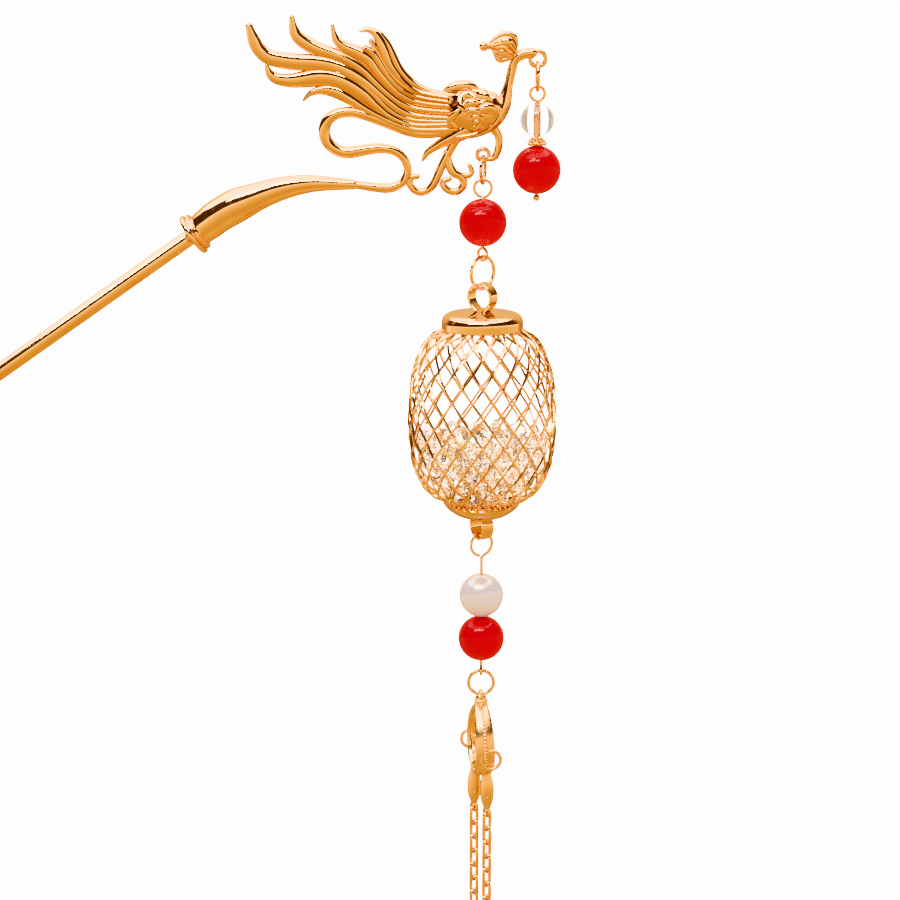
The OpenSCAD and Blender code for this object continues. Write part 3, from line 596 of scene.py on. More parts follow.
# Phoenix. Feathers: points from tip to root, widths and thicknesses as shares of the feather's
FEATHERS = (
    # Outer feather
    (((19, 926), (29, 871), (46, 811), (76, 765), (120, 745), (174, 734), (236, 729), (293, 712),
      (343, 680), (389, 635), (432, 577), (478, 515), (524, 466), (578, 441), (700, 430)),
     (0.5, 0.9, 1.05, 1.15, 1.2, 1.2, 1.15, 1, 0.8, 0.65, 0.5), (0.7, 1, 1.1)),
    # Second feather
    (((160, 973), (163, 925), (171, 885), (190, 852), (221, 820), (259, 794), (305, 770),
      (351, 736), (394, 688), (432, 625), (474, 561), (521, 509), (578, 478), (700, 462)),
     (0.35, 0.7, 0.95, 1, 0.9, 0.8, 0.75, 0.7, 0.6, 0.5), (0.6, 1, 1.1)),
    # Third feather
    (((292, 931), (297, 884), (308, 845), (335, 811), (375, 783), (409, 751), (436, 694),
      (471, 625), (513, 562), (578, 515), (700, 493)),
     (0.25, 0.5, 0.85, 0.95, 0.85, 0.7, 0.6, 0.5), (0.5, 1, 1.1)),
    (((398, 811), (429, 777), (452, 720), (478, 656), (513, 597), (578, 546), (700, 517)),
     (0.4, 0.6, 0.55, 0.5, 0.45), (1, 1.15, 1.2)),
    # Curled feather
    (((383, 899), (407, 908), (431, 891), (447, 852), (462, 796), (479, 732), (502, 675),
      (533, 620), (578, 573), (700, 537)),
     (0.2, 0.45, 0.7, 0.8, 0.65, 0.55, 0.5, 0.45), (0.5, 1.2, 1.3)),
    (((418, 846), (437, 789), (459, 726), (486, 666), (525, 608), (578, 560), (700, 527)),
     (0.35, 0.5, 0.5, 0.45, 0.4), (0.7, 1, 1)),
    (((449, 886), (472, 833), (491, 764), (513, 694), (544, 637), (578, 597), (620, 570),
      (700, 550)), (0.35, 0.55, 0.55, 0.5, 0.45), (0.6, 1, 1)),
    # First lower feather
    (((74, 715), (82, 676), (104, 645), (150, 634), (196, 641), (243, 651), (289, 646), (339, 618),
      (393, 562), (431, 504), (474, 446), (524, 408), (578, 390), (700, 398)),
     (0.3, 0.65, 0.9, 1.15, 1.3, 1.25, 1.05, 0.8, 0.7, 0.6, 0.55), (0.5, 1, 1.05)),
    (((305, 680), (351, 656), (393, 606), (432, 548), (470, 487), (513, 442), (578, 416),
      (700, 414)), (0.3, 0.55, 0.6, 0.55, 0.45), (0.9, 1, 1)),
    # Second lower feather
    (((194, 529), (219, 567), (257, 583), (300, 573), (342, 539), (385, 494), (427, 455),
      (474, 417), (524, 385), (578, 366), (700, 370)),
     (0.2, 0.55, 0.9, 0.85, 0.7, 0.65, 0.6, 0.55), (0.5, 1, 1)),
)
# Web between the feathers: its share of their thickness, and its outline
WEB_SHARE = 0.5
TAIL_WEB = ((180, 660), (250, 745), (333, 800), (450, 820), (495, 710), (562, 590), (700, 540),
            (700, 370), (570, 370), (463, 430), (348, 550), (258, 610))
# Stem that the bird stands on
STEM_PATH = ((300, 66), (354, 64), (461, 44), (511, 67), (533, 116), (533, 177), (505, 238),
             (453, 264), (395, 255), (336, 241), (297, 260), (270, 300), (260, 356), (269, 410),
             (297, 449), (337, 463), (377, 456), (435, 424), (493, 386), (543, 356), (600, 343),
             (700, 360))
STEM_WIDTHS = (0.85, 0.95, 1.2, 1.05, 1, 1, 1.05, 1.2, 1.35, 1.45, 1.45, 1.4, 1.4, 1.4, 1.3, 1.3,
               1.3, 1.3, 1.25, 1.2, 1.1, 1)
SCROLLS = (
    # Long scroll that comes back to the stem
    (((712, 340), (698, 314), (656, 188), (631, 94), (614, 50), (587, 22), (559, 33), (542, 72),
      (551, 105), (568, 108)), (1.3, 1.1, 1.1, 1, 1, 0.9, 0.7)),
    # Spiral beside it
    (((668, 240), (673, 180), (688, 133), (711, 111), (723, 78), (718, 50), (698, 25), (674, 31),
      (656, 55), (656, 83), (675, 95)), (1, 1.2, 1, 1, 0.9, 0.7)),
    # Small hook on the spiral
    (((705, 115), (734, 114), (750, 133), (742, 170)), (0.8, 0.8, 0.6)),
    # Scroll from the breast to the hanging eye
    (((805, 400), (826, 364), (839, 323), (838, 265), (825, 215), (807, 205)),
     (1.6, 1.1, 1, 0.9, 0.7)),
)
# Leg leaf that sweeps back under the body
LEG_PATH = ((800, 410), (740, 372), (690, 328), (640, 285), (604, 245), (586, 199))
LEG_WIDTHS = (1, 2.2, 1.9, 1.2, 0.9, 0.4)
# Breast strap and neck up to the beak
NECK_PATH = ((700, 330), (760, 346), (808, 380), (838, 430), (855, 490), (862, 550), (871, 617),
             (882, 686), (889, 735), (903, 764), (925, 779), (947, 782))
NECK_WIDTHS = (0.8, 1.1, 1.3, 1.5, 1.7, 1.6, 1.15, 1.05, 1.1, 1.3, 1.35, 1.3)
NECK_DEPTHS = (2.2, 2.8, 3.1, 3.1, 2.8, 2.2, 1.5, 1.2, 1.2, 1.4, 1.4, 1.3)
BODY_FORMS = (((718, 460), 1.0), ((768, 462), 1.28), ((812, 484), 0.98))
BODY_FLAT = 0.8

# The crest: strands of its carved leaf, its lower lobe, and its thin stem
STRAND = (0.5, 0.75, 0.85, 0.75, 0.4)
STRAND_FLAT = 0.9
CREST = (
    (((810, 836), (832, 866), (860, 884), (888, 870), (898, 826)), STRAND, 0.8),
    (((812, 828), (838, 850), (864, 860), (884, 842), (895, 806)), STRAND, 1.25),
    (((814, 820), (840, 832), (862, 836), (880, 820), (892, 788)), STRAND, 1.5),
    (((816, 812), (838, 814), (858, 812), (874, 796), (887, 772)), STRAND, 1.55),
    (((818, 800), (836, 794), (852, 790), (868, 778), (884, 764)),
     (0.5, 0.75, 0.85, 0.7, 0.4), 1.3),
    (((822, 790), (830, 772), (842, 764), (856, 766), (882, 762)),
     (0.5, 0.75, 0.8, 0.6, 0.4), 1.0),
    (((826, 776), (832, 752), (846, 744), (866, 750), (886, 760)),
     (0.45, 0.6, 0.7, 0.55, 0.4), 0.7),
    (((893, 800), (886, 758), (876, 715), (869, 672), (868, 630)),
     (0.5, 0.5, 0.45, 0.5, 0.7), 0.5),
)

# Solid leaf under the crest's veins, and the bud at its tip: places, diameters in millimetres
CREST_BALLS = (((862, 838), (2.9, 1.9, 2.2)), ((842, 836), (2.2, 1.6, 1.5)),
               ((852, 780), (2.0, 1.5, 1.4)), ((788, 817), (1.5, 1.4, 1.5)))
BUD_BALL = ((806, 820), (0.9, 1.0, 1.2))
BUD_STALK = ((788, 817), (800, 819), (822, 822))
BUD_STALK_D = 0.75

# Raised work of the wing, on both faces: points, widths in millimetres and how far it stands out
# of the body, in millimetres
WING = (
    # Swirl under the top leaf
    (((759, 544), (746, 557), (730, 557), (716, 541), (710, 516), (715, 491), (728, 477)),
     (0.7, 1.3, 1.4, 1.3, 1.15, 1, 0.5), 0.3),
    (((728, 502), (740, 511), (753, 517), (768, 516)), (0.9, 1.5, 1.5, 0.7), 0.25),
    # Leaf on the back
    (((753, 580), (768, 569), (783, 556), (797, 542), (812, 530)), (0.7, 1.4, 1.9, 1.7, 0.6), 0.3),
    # Curl and leaf at the shoulder
    (((774, 500), (781, 514), (792, 521), (804, 514)), (0.5, 1, 1.1, 0.5), 0.3),
    (((769, 472), (786, 486), (802, 490), (817, 481), (830, 461)), (0.7, 1.5, 1.9, 1.6, 0.6), 0.3),
    # Curl in the middle
    (((728, 456), (736, 470), (749, 478), (763, 473), (771, 456)),
     (0.6, 1.15, 1.3, 1.1, 0.6), 0.3),
    # Small ring with a boss
    (((747, 409), (747, 428), (756, 442), (770, 442), (781, 428), (781, 406), (771, 390),
      (757, 390)), (0.4, 0.8, 0.95, 0.95, 0.9, 0.8, 0.7, 0.4), 0.2),
    (((761, 415), (767, 419)), (1, 1), 0.25),
    # Ruffle down the left edge
    (((673, 555), (681, 538), (679, 516), (684, 497)), (0.4, 0.75, 0.7, 0.3), 0.2),
    (((708, 483), (695, 459), (683, 437), (677, 420), (685, 401), (700, 384)),
     (0.5, 1, 1.2, 1.2, 1, 0.5), 0.3),
)
# Middle of the raised work over the skin, as a share of its rise, and its depth as one of its width
WING_LIFT = 0.35
WING_FLAT = 0.5
TOP_LEAF = ((648, 564), (660, 575), (677, 588), (697, 598), (716, 602), (736, 603), (753, 596),
            (769, 580))
TOP_LEAF_WIDTHS = (0.3, 0.9, 1.65, 1.95, 2.0, 1.9, 1.5, 0.8)
# Dark sheet laid on both faces between the feathers' roots and the wing: painted shade of a deep
# gap
GAP = ((682, 545), (692, 522), (699, 494), (708, 464))
GAP_WIDTHS = (1.5, 2.0, 1.6, 0.8)
GAP_T = 0.3
GAP_LIFT = 0.08
# Half the thickness of the feathers' roots
FEATHER_FACE = 1.2


def body_skin(x, z):
    """Half the body's thickness at a place of the plane XZ."""
    best = 0.0
    for i in range(len(BODY_FORMS) - 1):
        for k in range(13):
            f = k / 12
            (p, d), (q, e) = BODY_FORMS[i], BODY_FORMS[i + 1]
            c = at(p).lerp(at(q), f)
            r = (d * (1 - f) + e * f) * BIRD_T / 2
            inside = 1 - ((x - c.x) ** 2 + (z - c.z) ** 2) / r ** 2
            if inside > 0:
                best = max(best, BODY_FLAT * r * sqrt(inside))
    return best


def wing_skin(p):
    """Half the thickness at a place of the wing or of the feathers' roots beside it."""
    return max(body_skin(p.x, p.z) * 0.96, FEATHER_FACE)


def lifted(row, face, lift):
    """A row of points laid on one face of the wing, at a height over its skin."""
    return [Vector((p.x, face * (wing_skin(p) + lift), p.z)) for p in row]


def make_phoenix():
    bird = Shape()
    # Feathers
    for points, widths, depths in FEATHERS:
        bird.sweep(bird_path(points), scaled(widths, FEATHER_W), scaled(depths, FEATHER_T),
                   sides=20, blunt=(False, True))
    half = FEATHER_T * WEB_SHARE / 2
    bird.rings([[at(p) + Vector((0, y, 0)) for p in TAIL_WEB] for y in (half, -half)])
    # Stem and scrolls
    bird.sweep(bird_path(STEM_PATH), scaled(STEM_WIDTHS, STEM_D), sides=20, blunt=(True, True))
    for points, widths in SCROLLS:
        bird.sweep(bird_path(points), scaled(widths, SCROLL_D), sides=16)
    bird.sweep(bird_path(LEG_PATH), scaled(LEG_WIDTHS, SCROLL_D), sides=20)
    # Neck, beak and crest
    bird.sweep(bird_path(NECK_PATH), scaled(NECK_WIDTHS, SCROLL_D), scaled(NECK_DEPTHS, SCROLL_D),
               sides=24, blunt=(True, False))
    for points, widths, depth in CREST:
        bird.sweep(bird_path(points), scaled(widths, SCROLL_D), [depth * SCROLL_D * STRAND_FLAT])
    for place, size in CREST_BALLS:
        bird.ball(at(place), size, 24, 14)
    bird.ball(at(BUD_BALL[0]), BUD_BALL[1])
    bird.sweep([at(p) for p in BUD_STALK], [BUD_STALK_D])
    # Wing work on both faces
    for points, widths, out in WING:
        row = bird_path(points, 6)
        for face in (-1, 1):
            path = lifted(row, face, out * WING_LIFT)
            bird.sweep(path, widths, [w * WING_FLAT + out for w in widths], sides=16)
    bird.sweep(bird_path(TOP_LEAF), TOP_LEAF_WIDTHS, [w * 0.7 + 0.2 for w in TOP_LEAF_WIDTHS],
               sides=24)
    # Eyes
    bird.torus(HANG_EYE, HANG_EYE_D / 2, EYE_BAR)
    bird.torus(BEAK_EYE, BEAK_EYE_D / 2, EYE_BAR)
    bird.gold("phoenix", "root", GOLD_CAST)
    # Smooth body
    body = Shape()
    points, sizes = zip(*BODY_FORMS)
    sizes = scaled(sizes, BIRD_T)
    body.sweep(bird_path(points, 12), sizes, scaled(sizes, BODY_FLAT), sides=64)
    body.piece("phoenix_body", "root", [], GOLD_CAST)
    # A near-black sheet on both faces paints the gap's shade
    gap = Shape()
    row = bird_path(GAP, 6)
    for face in (-1, 1):
        gap.sweep(lifted(row, face, GAP_LIFT), GAP_WIDTHS, [GAP_T], sides=12)
    gap.piece("phoenix_gap_painted_shade", "root", [], GOLD_PAINTED_SHADE)


make_phoenix()

# Rings, eye pins and beads. A ring's cut and a loop's bend are in degrees
RING_CUT = 1.6
LOOP_NECK = 0.9
LOOP_START = -60.0
LOOP_REACH = 316.0
LOOP_OVERLAP = 0.4
HOLE_EDGE = 0.12


def loop_path(r):
    """Middle line of a wire loop in the plane XZ round the origin, with its neck below it."""
    row = [Vector((0, 0, -r - LOOP_NECK)), Vector((0, 0, -r - LOOP_NECK * 0.55)),
           Vector((r * 0.12, 0, -r - 0.12))]
    return row + arc(r, LOOP_START, LOOP_REACH, 44)


def wire_loop(shape, place, r, turn, down=False):
    """A bent eye of wire above its straight stretch, or below it."""
    part = Shape()
    part.sweep(loop_path(r), [PIN_WIRE])
    if down:
        part.verts = [Vector((-v.x, v.y, -v.z)) for v in part.verts]
    shape.join(part, turn, place)


def upright(shape, x, low, high):
    """The straight stretch of a pin."""
    path = [Vector((x, 0, low)), Vector((x, 0, (low + high) / 2)), Vector((x, 0, high))]
    shape.sweep(path, [PIN_WIRE])


def bead(name, body, x, z, d, material, bore_material=None):
    """A drilled bead with softened edges at its hole."""
    r, b = d / 2, BEAD_BORE / 2
    top = sqrt(r * r - (b + HOLE_EDGE) ** 2)
    first = atan2(top, b + HOLE_EDGE)
    angles = [first - 2 * first * i / 48 for i in range(49)]
    rows = [(r * cos(a), r * sin(a)) for a in angles]
    rows += [(b + 0.03, -top), (b, -top + HOLE_EDGE), (b, 0.0), (b, top - HOLE_EDGE),
             (b + 0.03, top)]
    part = Shape()
    part.lathe(rows[::-1], (x, 0, z), 96)
    obj = part.piece(name, body, [name], material, sharp=50)
    if bore_material:
        obj.data.materials.append(bore_material)
        for face in obj.data.polygons:
            if hypot(face.center.x - x * MM, face.center.y) < (b + 0.02) * MM:
                face.material_index = 1


def make_rings():
    for name, body, place, r, turn, split_at in (
            ("beak_ring", "root", (BEAK_X, 0, BEAK_RING_Z), BEAK_RING_R, 90, 35),
            ("hook_ring", "drop_ring", (DROP_X, 0, HOOK_RING_Z), HOOK_RING_R, HOOK_TURN, 200),
            ("lantern_ring", "drop", (DROP_X, 0, LANTERN_RING_Z), LANTERN_RING_R, RING_TURN, 160),
            ("tassel_ring", "drop", (DROP_X, 0, TASSEL_RING_Z), TASSEL_RING_R, 0, 20)):
        ring = Shape()
        ring.torus(place, r, RING_WIRE, turn, split=RING_CUT, start=split_at, steps=96)
        ring.gold(name, body, GOLD_WIRE)


def make_pins():
    head = Shape()
    wire_loop(head, (BEAK_X, 0, BEAK_LOOP_Z), BEAK_LOOP_R, 0)
    upright(head, BEAK_X, HEAD_Z, BEAK_LOOP_Z - BEAK_LOOP_R - LOOP_OVERLAP)
    head.ball((BEAK_X, 0, HEAD_Z), HEAD_D, 28, 16)
    head.gold("beak_headpin", "root", GOLD_WIRE)
    for name, top, top_r, top_turn, low, low_r, low_turn in (
            ("upper_eyepin", UPPER_LOOP_Z, UPPER_LOOP_R, 0, LOWER_LOOP_Z, LOWER_LOOP_R,
             RING_TURN + 90),
            ("lower_eyepin", FOOT_LOOP_Z, FOOT_LOOP_R, FOOT_LOOP_TURN, END_LOOP_Z, END_LOOP_R,
             90)):
        pin = Shape()
        wire_loop(pin, (DROP_X, 0, top), top_r, top_turn)
        wire_loop(pin, (DROP_X, 0, low), low_r, low_turn, down=True)
        upright(pin, DROP_X, low + low_r + LOOP_OVERLAP, top - top_r - LOOP_OVERLAP)
        pin.gold(name, "drop", GOLD_WIRE)


# Rows of grains: their count, and place, height and size as shares of the bead cap's
BEAD_CAP_GRAINS = ((13, 0.41, 0.24, 0.19), (12, 0.345, 0.58, 0.16), (10, 0.25, 0.86, 0.13))


def make_beads():
    bead("glass_bead", "root", BEAK_X, GLASS_Z, GLASS_D, GLASS,
         bore_material=BORE)
    bead("beak_red_bead", "root", BEAK_X, BEAK_RED_Z, RED_D, RED)
    bead("upper_red_bead", "drop", DROP_X, UPPER_RED_Z, RED_D, RED)
    bead("lower_red_bead", "drop", DROP_X, LOWER_RED_Z, RED_D, RED)
    bead("pearl", "drop", DROP_X, PEARL_Z, PEARL_D, PEARL)
    cap = Shape()
    cap.lathe([(BEAD_BORE / 2 + 0.02, 0.25), (BEAD_CAP_D * 0.40, 0.10), (BEAD_CAP_D * 0.36, 0.55),
               (BEAD_CAP_D * 0.24, 1.0), (BEAD_BORE / 2 + 0.02, 1.15)],
              (BEAK_X, 0, BEAD_CAP_Z), 48)
    for count, r, z, d in BEAD_CAP_GRAINS:
        for x, y in circle(count, BEAD_CAP_D * r):
            cap.ball((BEAK_X + x, y, BEAD_CAP_Z + BEAD_CAP_H * z), BEAD_CAP_D * d, 14, 10)
    cap.gold("bead_cap", "root", GOLD_WIRE)


make_rings()
make_pins()
make_beads()

# Lantern
def bail_band(shape, place, turn, up=True):
    """A band bent to a drop-shaped loop, its opening along Y before it is turned."""
    def outline(r):
        row = [(r * cos(radians(a)), r * sin(radians(a))) for a in range(-42, 223, 8)]
        point = r * sqrt(2)
        return [(0.25 * r, -point + 0.25 * r)] + row + [(-0.25 * r, -point + 0.25 * r),
                                                        (0, -point * 0.96)]

    w, edge = BAIL_W / 2, BAIL_EDGE
    rows = []
    for (ox, oz), (ix, iz) in zip(outline(BAIL_R), outline(BAIL_R - BAIL_T)):
        o, i = Vector((ox, 0, oz)), Vector((ix, 0, iz))
        across = (o - i).normalized()
        rows.append([p + across * bevel * s + Vector((0, y * s, 0))
                     for p, s in ((o, -1), (i, 1))
                     for y, bevel in ((w, edge), (w - edge, 0), (edge - w, 0), (-w, edge))])
    part = Shape()
    part.rings(rows, closed=True)
    if not up:
        part.verts = [Vector((v.x, -v.y, -v.z)) for v in part.verts]
    shape.join(part, turn, place)


# Dome of the cap, outside and inside: radii and heights as shares of its diameter and rise, and
# the share of the wall that is left inside
CAP_FORM = ((0, 0.83), (0.15, 0.82), (0.30, 0.78), (0.40, 0.71), (0.445, 0.62), (0.472, 0.48),
            (0.488, 0.32), (0.496, 0.18), (0.4995, 0.06), (0.5, -0.04))
CAP_INSIDE = ((0.42, 0.45, 0.6), (0.36, 0.66, 1), (0.30, 0.74, 1), (0, 0.80, 1))


def make_cap():
    cap = Shape()
    r, s = CAP_D / 2, CAP_SKIRT
    dome = smooth([Vector((x * CAP_D, 0, s + z * CAP_RISE)) for x, z in CAP_FORM], 5)
    rows = [(p.x, p.z) for p in dome]
    rows += [(r, s * 0.8), (r, 0.14), (r - 0.08, 0.03), (r - 0.18, 0.0), (r - CAP_WALL + 0.08, 0.0),
             (r - CAP_WALL, 0.08), (r - CAP_WALL, s - CAP_WALL * 0.6)]
    rows += [(CAP_D * x, s + CAP_RISE * z - CAP_WALL * t) for x, z, t in CAP_INSIDE]
    cap.lathe(rows[::-1], (DROP_X, 0, CAP_RIM_Z), 128)
    bail_band(cap, (DROP_X, 0, BAIL_Z), BAIL_TURN)
    cap.gold("lantern_cap", "drop", GOLD)


# Outside of the dish: radii as shares of its diameter, heights in millimetres
DISH_FORM = ((0.0, 0.0), (0.20, 0.0), (0.25, 0.10), (0.33, 0.52), (0.39, 1.0), (0.44, 1.5),
             (0.475, 2.0), (0.492, 2.3))


def make_dish():
    dish = Shape()
    rows = [(r * DISH_D, z) for r, z in DISH_FORM]
    rows += [(DISH_D / 2, DISH_H - 0.08), (DISH_D / 2 - 0.06, DISH_H),
             (NET_LOW_R + 2 * FIT, DISH_H), (NET_LOW_R + 2 * FIT, DISH_H - NET_SEAT - FIT),
             (DISH_D * 0.33, DISH_H * 0.35 + DISH_WALL * 0.9), (DISH_D * 0.20, DISH_WALL),
             (0.0, DISH_WALL)]
    dish.lathe(rows, (DROP_X, 0, DISH_LOW_Z), 128)
    for x, y in circle(LIP_BEADS, (DISH_D - DISH_LIP) / 2):
        dish.ball((DROP_X + x, y, DISH_LOW_Z + DISH_H), LIP_BEAD_D, 14, 10)
    bail_band(dish, (DROP_X, 0, FOOT_BAIL_Z), FOOT_BAIL_TURN, up=False)
    dish.gold("lantern_dish", "drop", GOLD)


# Lantern's form: heights and radii as shares of its own
NET_FORM = ((0.07, 0.70), (0.14, 0.85), (0.25, 0.955), (0.40, 1), (0.56, 1), (0.72, 0.965),
            (0.84, 0.87), (0.93, 0.73))
NET_POINTS = [(z * CAGE_H, r * CAGE_D / 2) for z, r in NET_FORM]
NET_OUTER = ([(0, NET_LOW_R), (LOW_COLLAR, NET_LOW_R)] + NET_POINTS
             + [(CAGE_H - TOP_COLLAR, NET_TOP_R), (CAGE_H, NET_TOP_R)])


def net_inner():
    rows = [(0, NET_LOW_R - CAGE_WALL), (LOW_COLLAR + CAGE_WALL, NET_LOW_R - CAGE_WALL)]
    for z, r in NET_POINTS:
        length = hypot(z - CAGE_H / 2, r)
        rows.append((z - (z - CAGE_H / 2) * CAGE_WALL / length, r - r * CAGE_WALL / length))
    return rows + [(CAGE_H - TOP_COLLAR - CAGE_WALL, NET_TOP_R - CAGE_WALL),
                   (CAGE_H, NET_TOP_R - CAGE_WALL)]


NET_WIRES = 22
NET_WIRE = 0.42
NET_PITCH = 4.9
NET_WEAVE = 0.11
NET_STEPS = 108


def make_net():
    """Helical wires both ways over the lantern's form, passing over and under each other."""
    row = smooth([Vector((0, r - CAGE_WALL / 2, z)) for z, r in NET_OUTER[1:-1]], 12)
    lengths = [0.0]
    for a, b in zip(row, row[1:]):
        lengths.append(lengths[-1] + (b - a).length)
    net = Shape()
    for hand in (-1, 1):
        for i in range(NET_WIRES):
            path = []
            for k in range(NET_STEPS + 1):
                s = lengths[-1] * k / NET_STEPS
                j = max(j for j in range(len(row)) if lengths[j] <= s + 1e-9)
                j = min(j, len(row) - 2)
                f = (s - lengths[j]) / (lengths[j + 1] - lengths[j])
                p = row[j].lerp(row[j + 1], f)
                across = (row[j + 1] - row[j]).normalized()
                out = Vector((0, across.z, -across.y))
                turn = 2 * pi * (i + 0.5 + hand * s / NET_PITCH) / NET_WIRES
                wave = 2 * pi * s / NET_PITCH + (0 if hand > 0 else pi) + pi * (i % 2)
                q = p + out * (NET_WEAVE * cos(wave))
                path.append(Vector((q.y * cos(turn), q.y * sin(turn), q.z)))
            part = Shape()
            round_wire(part, path, NET_WIRE, 6)
            net.join(part, 0, (DROP_X, 0, NET_LOW_Z))
    for r, z0, z1 in ((NET_TOP_R, CAGE_H - TOP_COLLAR, CAGE_H), (NET_LOW_R, 0, LOW_COLLAR)):
        net.lathe([(r - CAGE_WALL * 0.8, z0), (r, z0), (r, z1), (r - CAGE_WALL * 0.8, z1)],
                  (DROP_X, 0, NET_LOW_Z), 96)
    net.gold("lantern_net", "drop", GOLD_WIRE)


def round_wire(shape, path, wire, sides):
    """Round wire along any path in space."""
    last = len(path) - 1
    rows = []
    n = None
    for i, p in enumerate(path):
        t = (path[min(i + 1, last)] - path[max(i - 1, 0)]).normalized()
        if n is None:
            n = t.cross(Vector((0.3, 0.2, 1))).normalized()
        n = (n - t * n.dot(t)).normalized()
        b = t.cross(n)
        rows.append([p + (n * c + b * s) * wire / 2 for c, s in circle(sides)])
    shape.rings(rows)


CRYSTAL_LAYERS = (0.64, 1.55, 2.45, 3.34)
CRYSTAL_ROOM = 0.55
CRYSTAL_STEP = 1.04
# Turns from stone to stone, so that no two lie alike
TILT_Y = 71
TILT_X = 137
LAYER_TURN = 0.37


def stone(d):
    """A round cut: table, star and main facets, girdle, pavilion facets and culet."""
    rows = ((0.20, 0.28, 8, 0.0), (0.10, 0.42, 8, 0.5), (0.015, 0.5, 16, 0.0),
            (-0.015, 0.5, 16, 0.0), (-0.22, 0.30, 8, 0.5), (-0.40, 0.05, 8, 0.0))
    verts = []
    for z, r, n, shift in rows:
        verts += [Vector((x, y, d * z)) for x, y in circle(n, d * r, shift)]
    bm = bmesh.new()
    for v in verts:
        bm.verts.new(v)
    bmesh.ops.convex_hull(bm, input=bm.verts)
    bm.verts.ensure_lookup_table()
    bm.verts.index_update()
    points = [v.co.copy() for v in bm.verts]
    faces = [[v.index for v in f.verts] for f in bm.faces]
    bm.free()
    return points, faces


def make_crystals():
    floor_z = DISH_LOW_Z + DISH_WALL
    inner = net_inner()
    points, faces = stone(CRYSTAL_D)
    heap = Shape()
    for layer, height in enumerate(CRYSTAL_LAYERS):
        z = floor_z + height * CRYSTAL_D
        outer_r = lookup(z - NET_LOW_Z - 0.25 * CRYSTAL_D, inner) - CRYSTAL_ROOM * CRYSTAL_D
        for row in range(floor(outer_r / (CRYSTAL_D * CRYSTAL_STEP)) + 1):
            r = outer_r - row * CRYSTAL_D * CRYSTAL_STEP
            count = 1
            if r >= CRYSTAL_D * 0.6:
                count = floor(pi / asin(CRYSTAL_STEP / 2 * CRYSTAL_D / r))
            for i in range(count):
                tilt = (Matrix.Rotation(radians(TILT_Y * i + 40 * row), 3, "Y")
                        @ Matrix.Rotation(radians(TILT_X * i + 60 * layer), 3, "X"))
                place = Vector((0 if count == 1 else r, 0, 0))
                turn = 360 * (i + layer * LAYER_TURN) / count
                heap.add(turned([tilt @ p + place for p in points], turn, (DROP_X, 0, z)), faces)
    heap.piece("crystals", "drop", ["crystals"], CRYSTAL, flat=True)


make_cap()
make_dish()
make_net()
make_crystals()

# Tassel. Points of the charm are shares of its half width and of its height
CHARM_RIM = ((0.0, -0.13), (0.34, -0.2), (0.8, -0.37), (1.0, -0.6), (0.88, -0.8), (0.48, -0.93),
             (0.0, -0.985))
CHARM_CURLS = (
    ((0.0, -0.19), (0.26, -0.35), (0.62, -0.5), (0.6, -0.65), (0.32, -0.66), (0.3, -0.57)),
    ((0.0, -0.9), (0.26, -0.82), (0.62, -0.8), (0.94, -0.64)),
)
CHARM_NECK = ((CHARM_EYE_R, 1.9), (CHARM_H * 0.08, 2.1), (CHARM_H * 0.15, 2.5))
CHARM_DEPTHS = (0.62, 0.86, 1, 1, 0.8)
CHARM_EYE_BAR = 0.6
CURL_D = 0.8
GRAIN_D = 0.72
# The row of grains is the rim, widened and stretched from its middle
GRAIN_OUT, GRAIN_TALL, CHARM_MID = 1.09, 1.04, 0.55
LEAF_WIDTHS = (1.4, 1.6, 1.7, 2.3, 2.4, 2.2, 1.4)


def on_charm(p, side):
    return Vector((side * p[0] * CHARM_W / 2, 0, p[1] * CHARM_H))


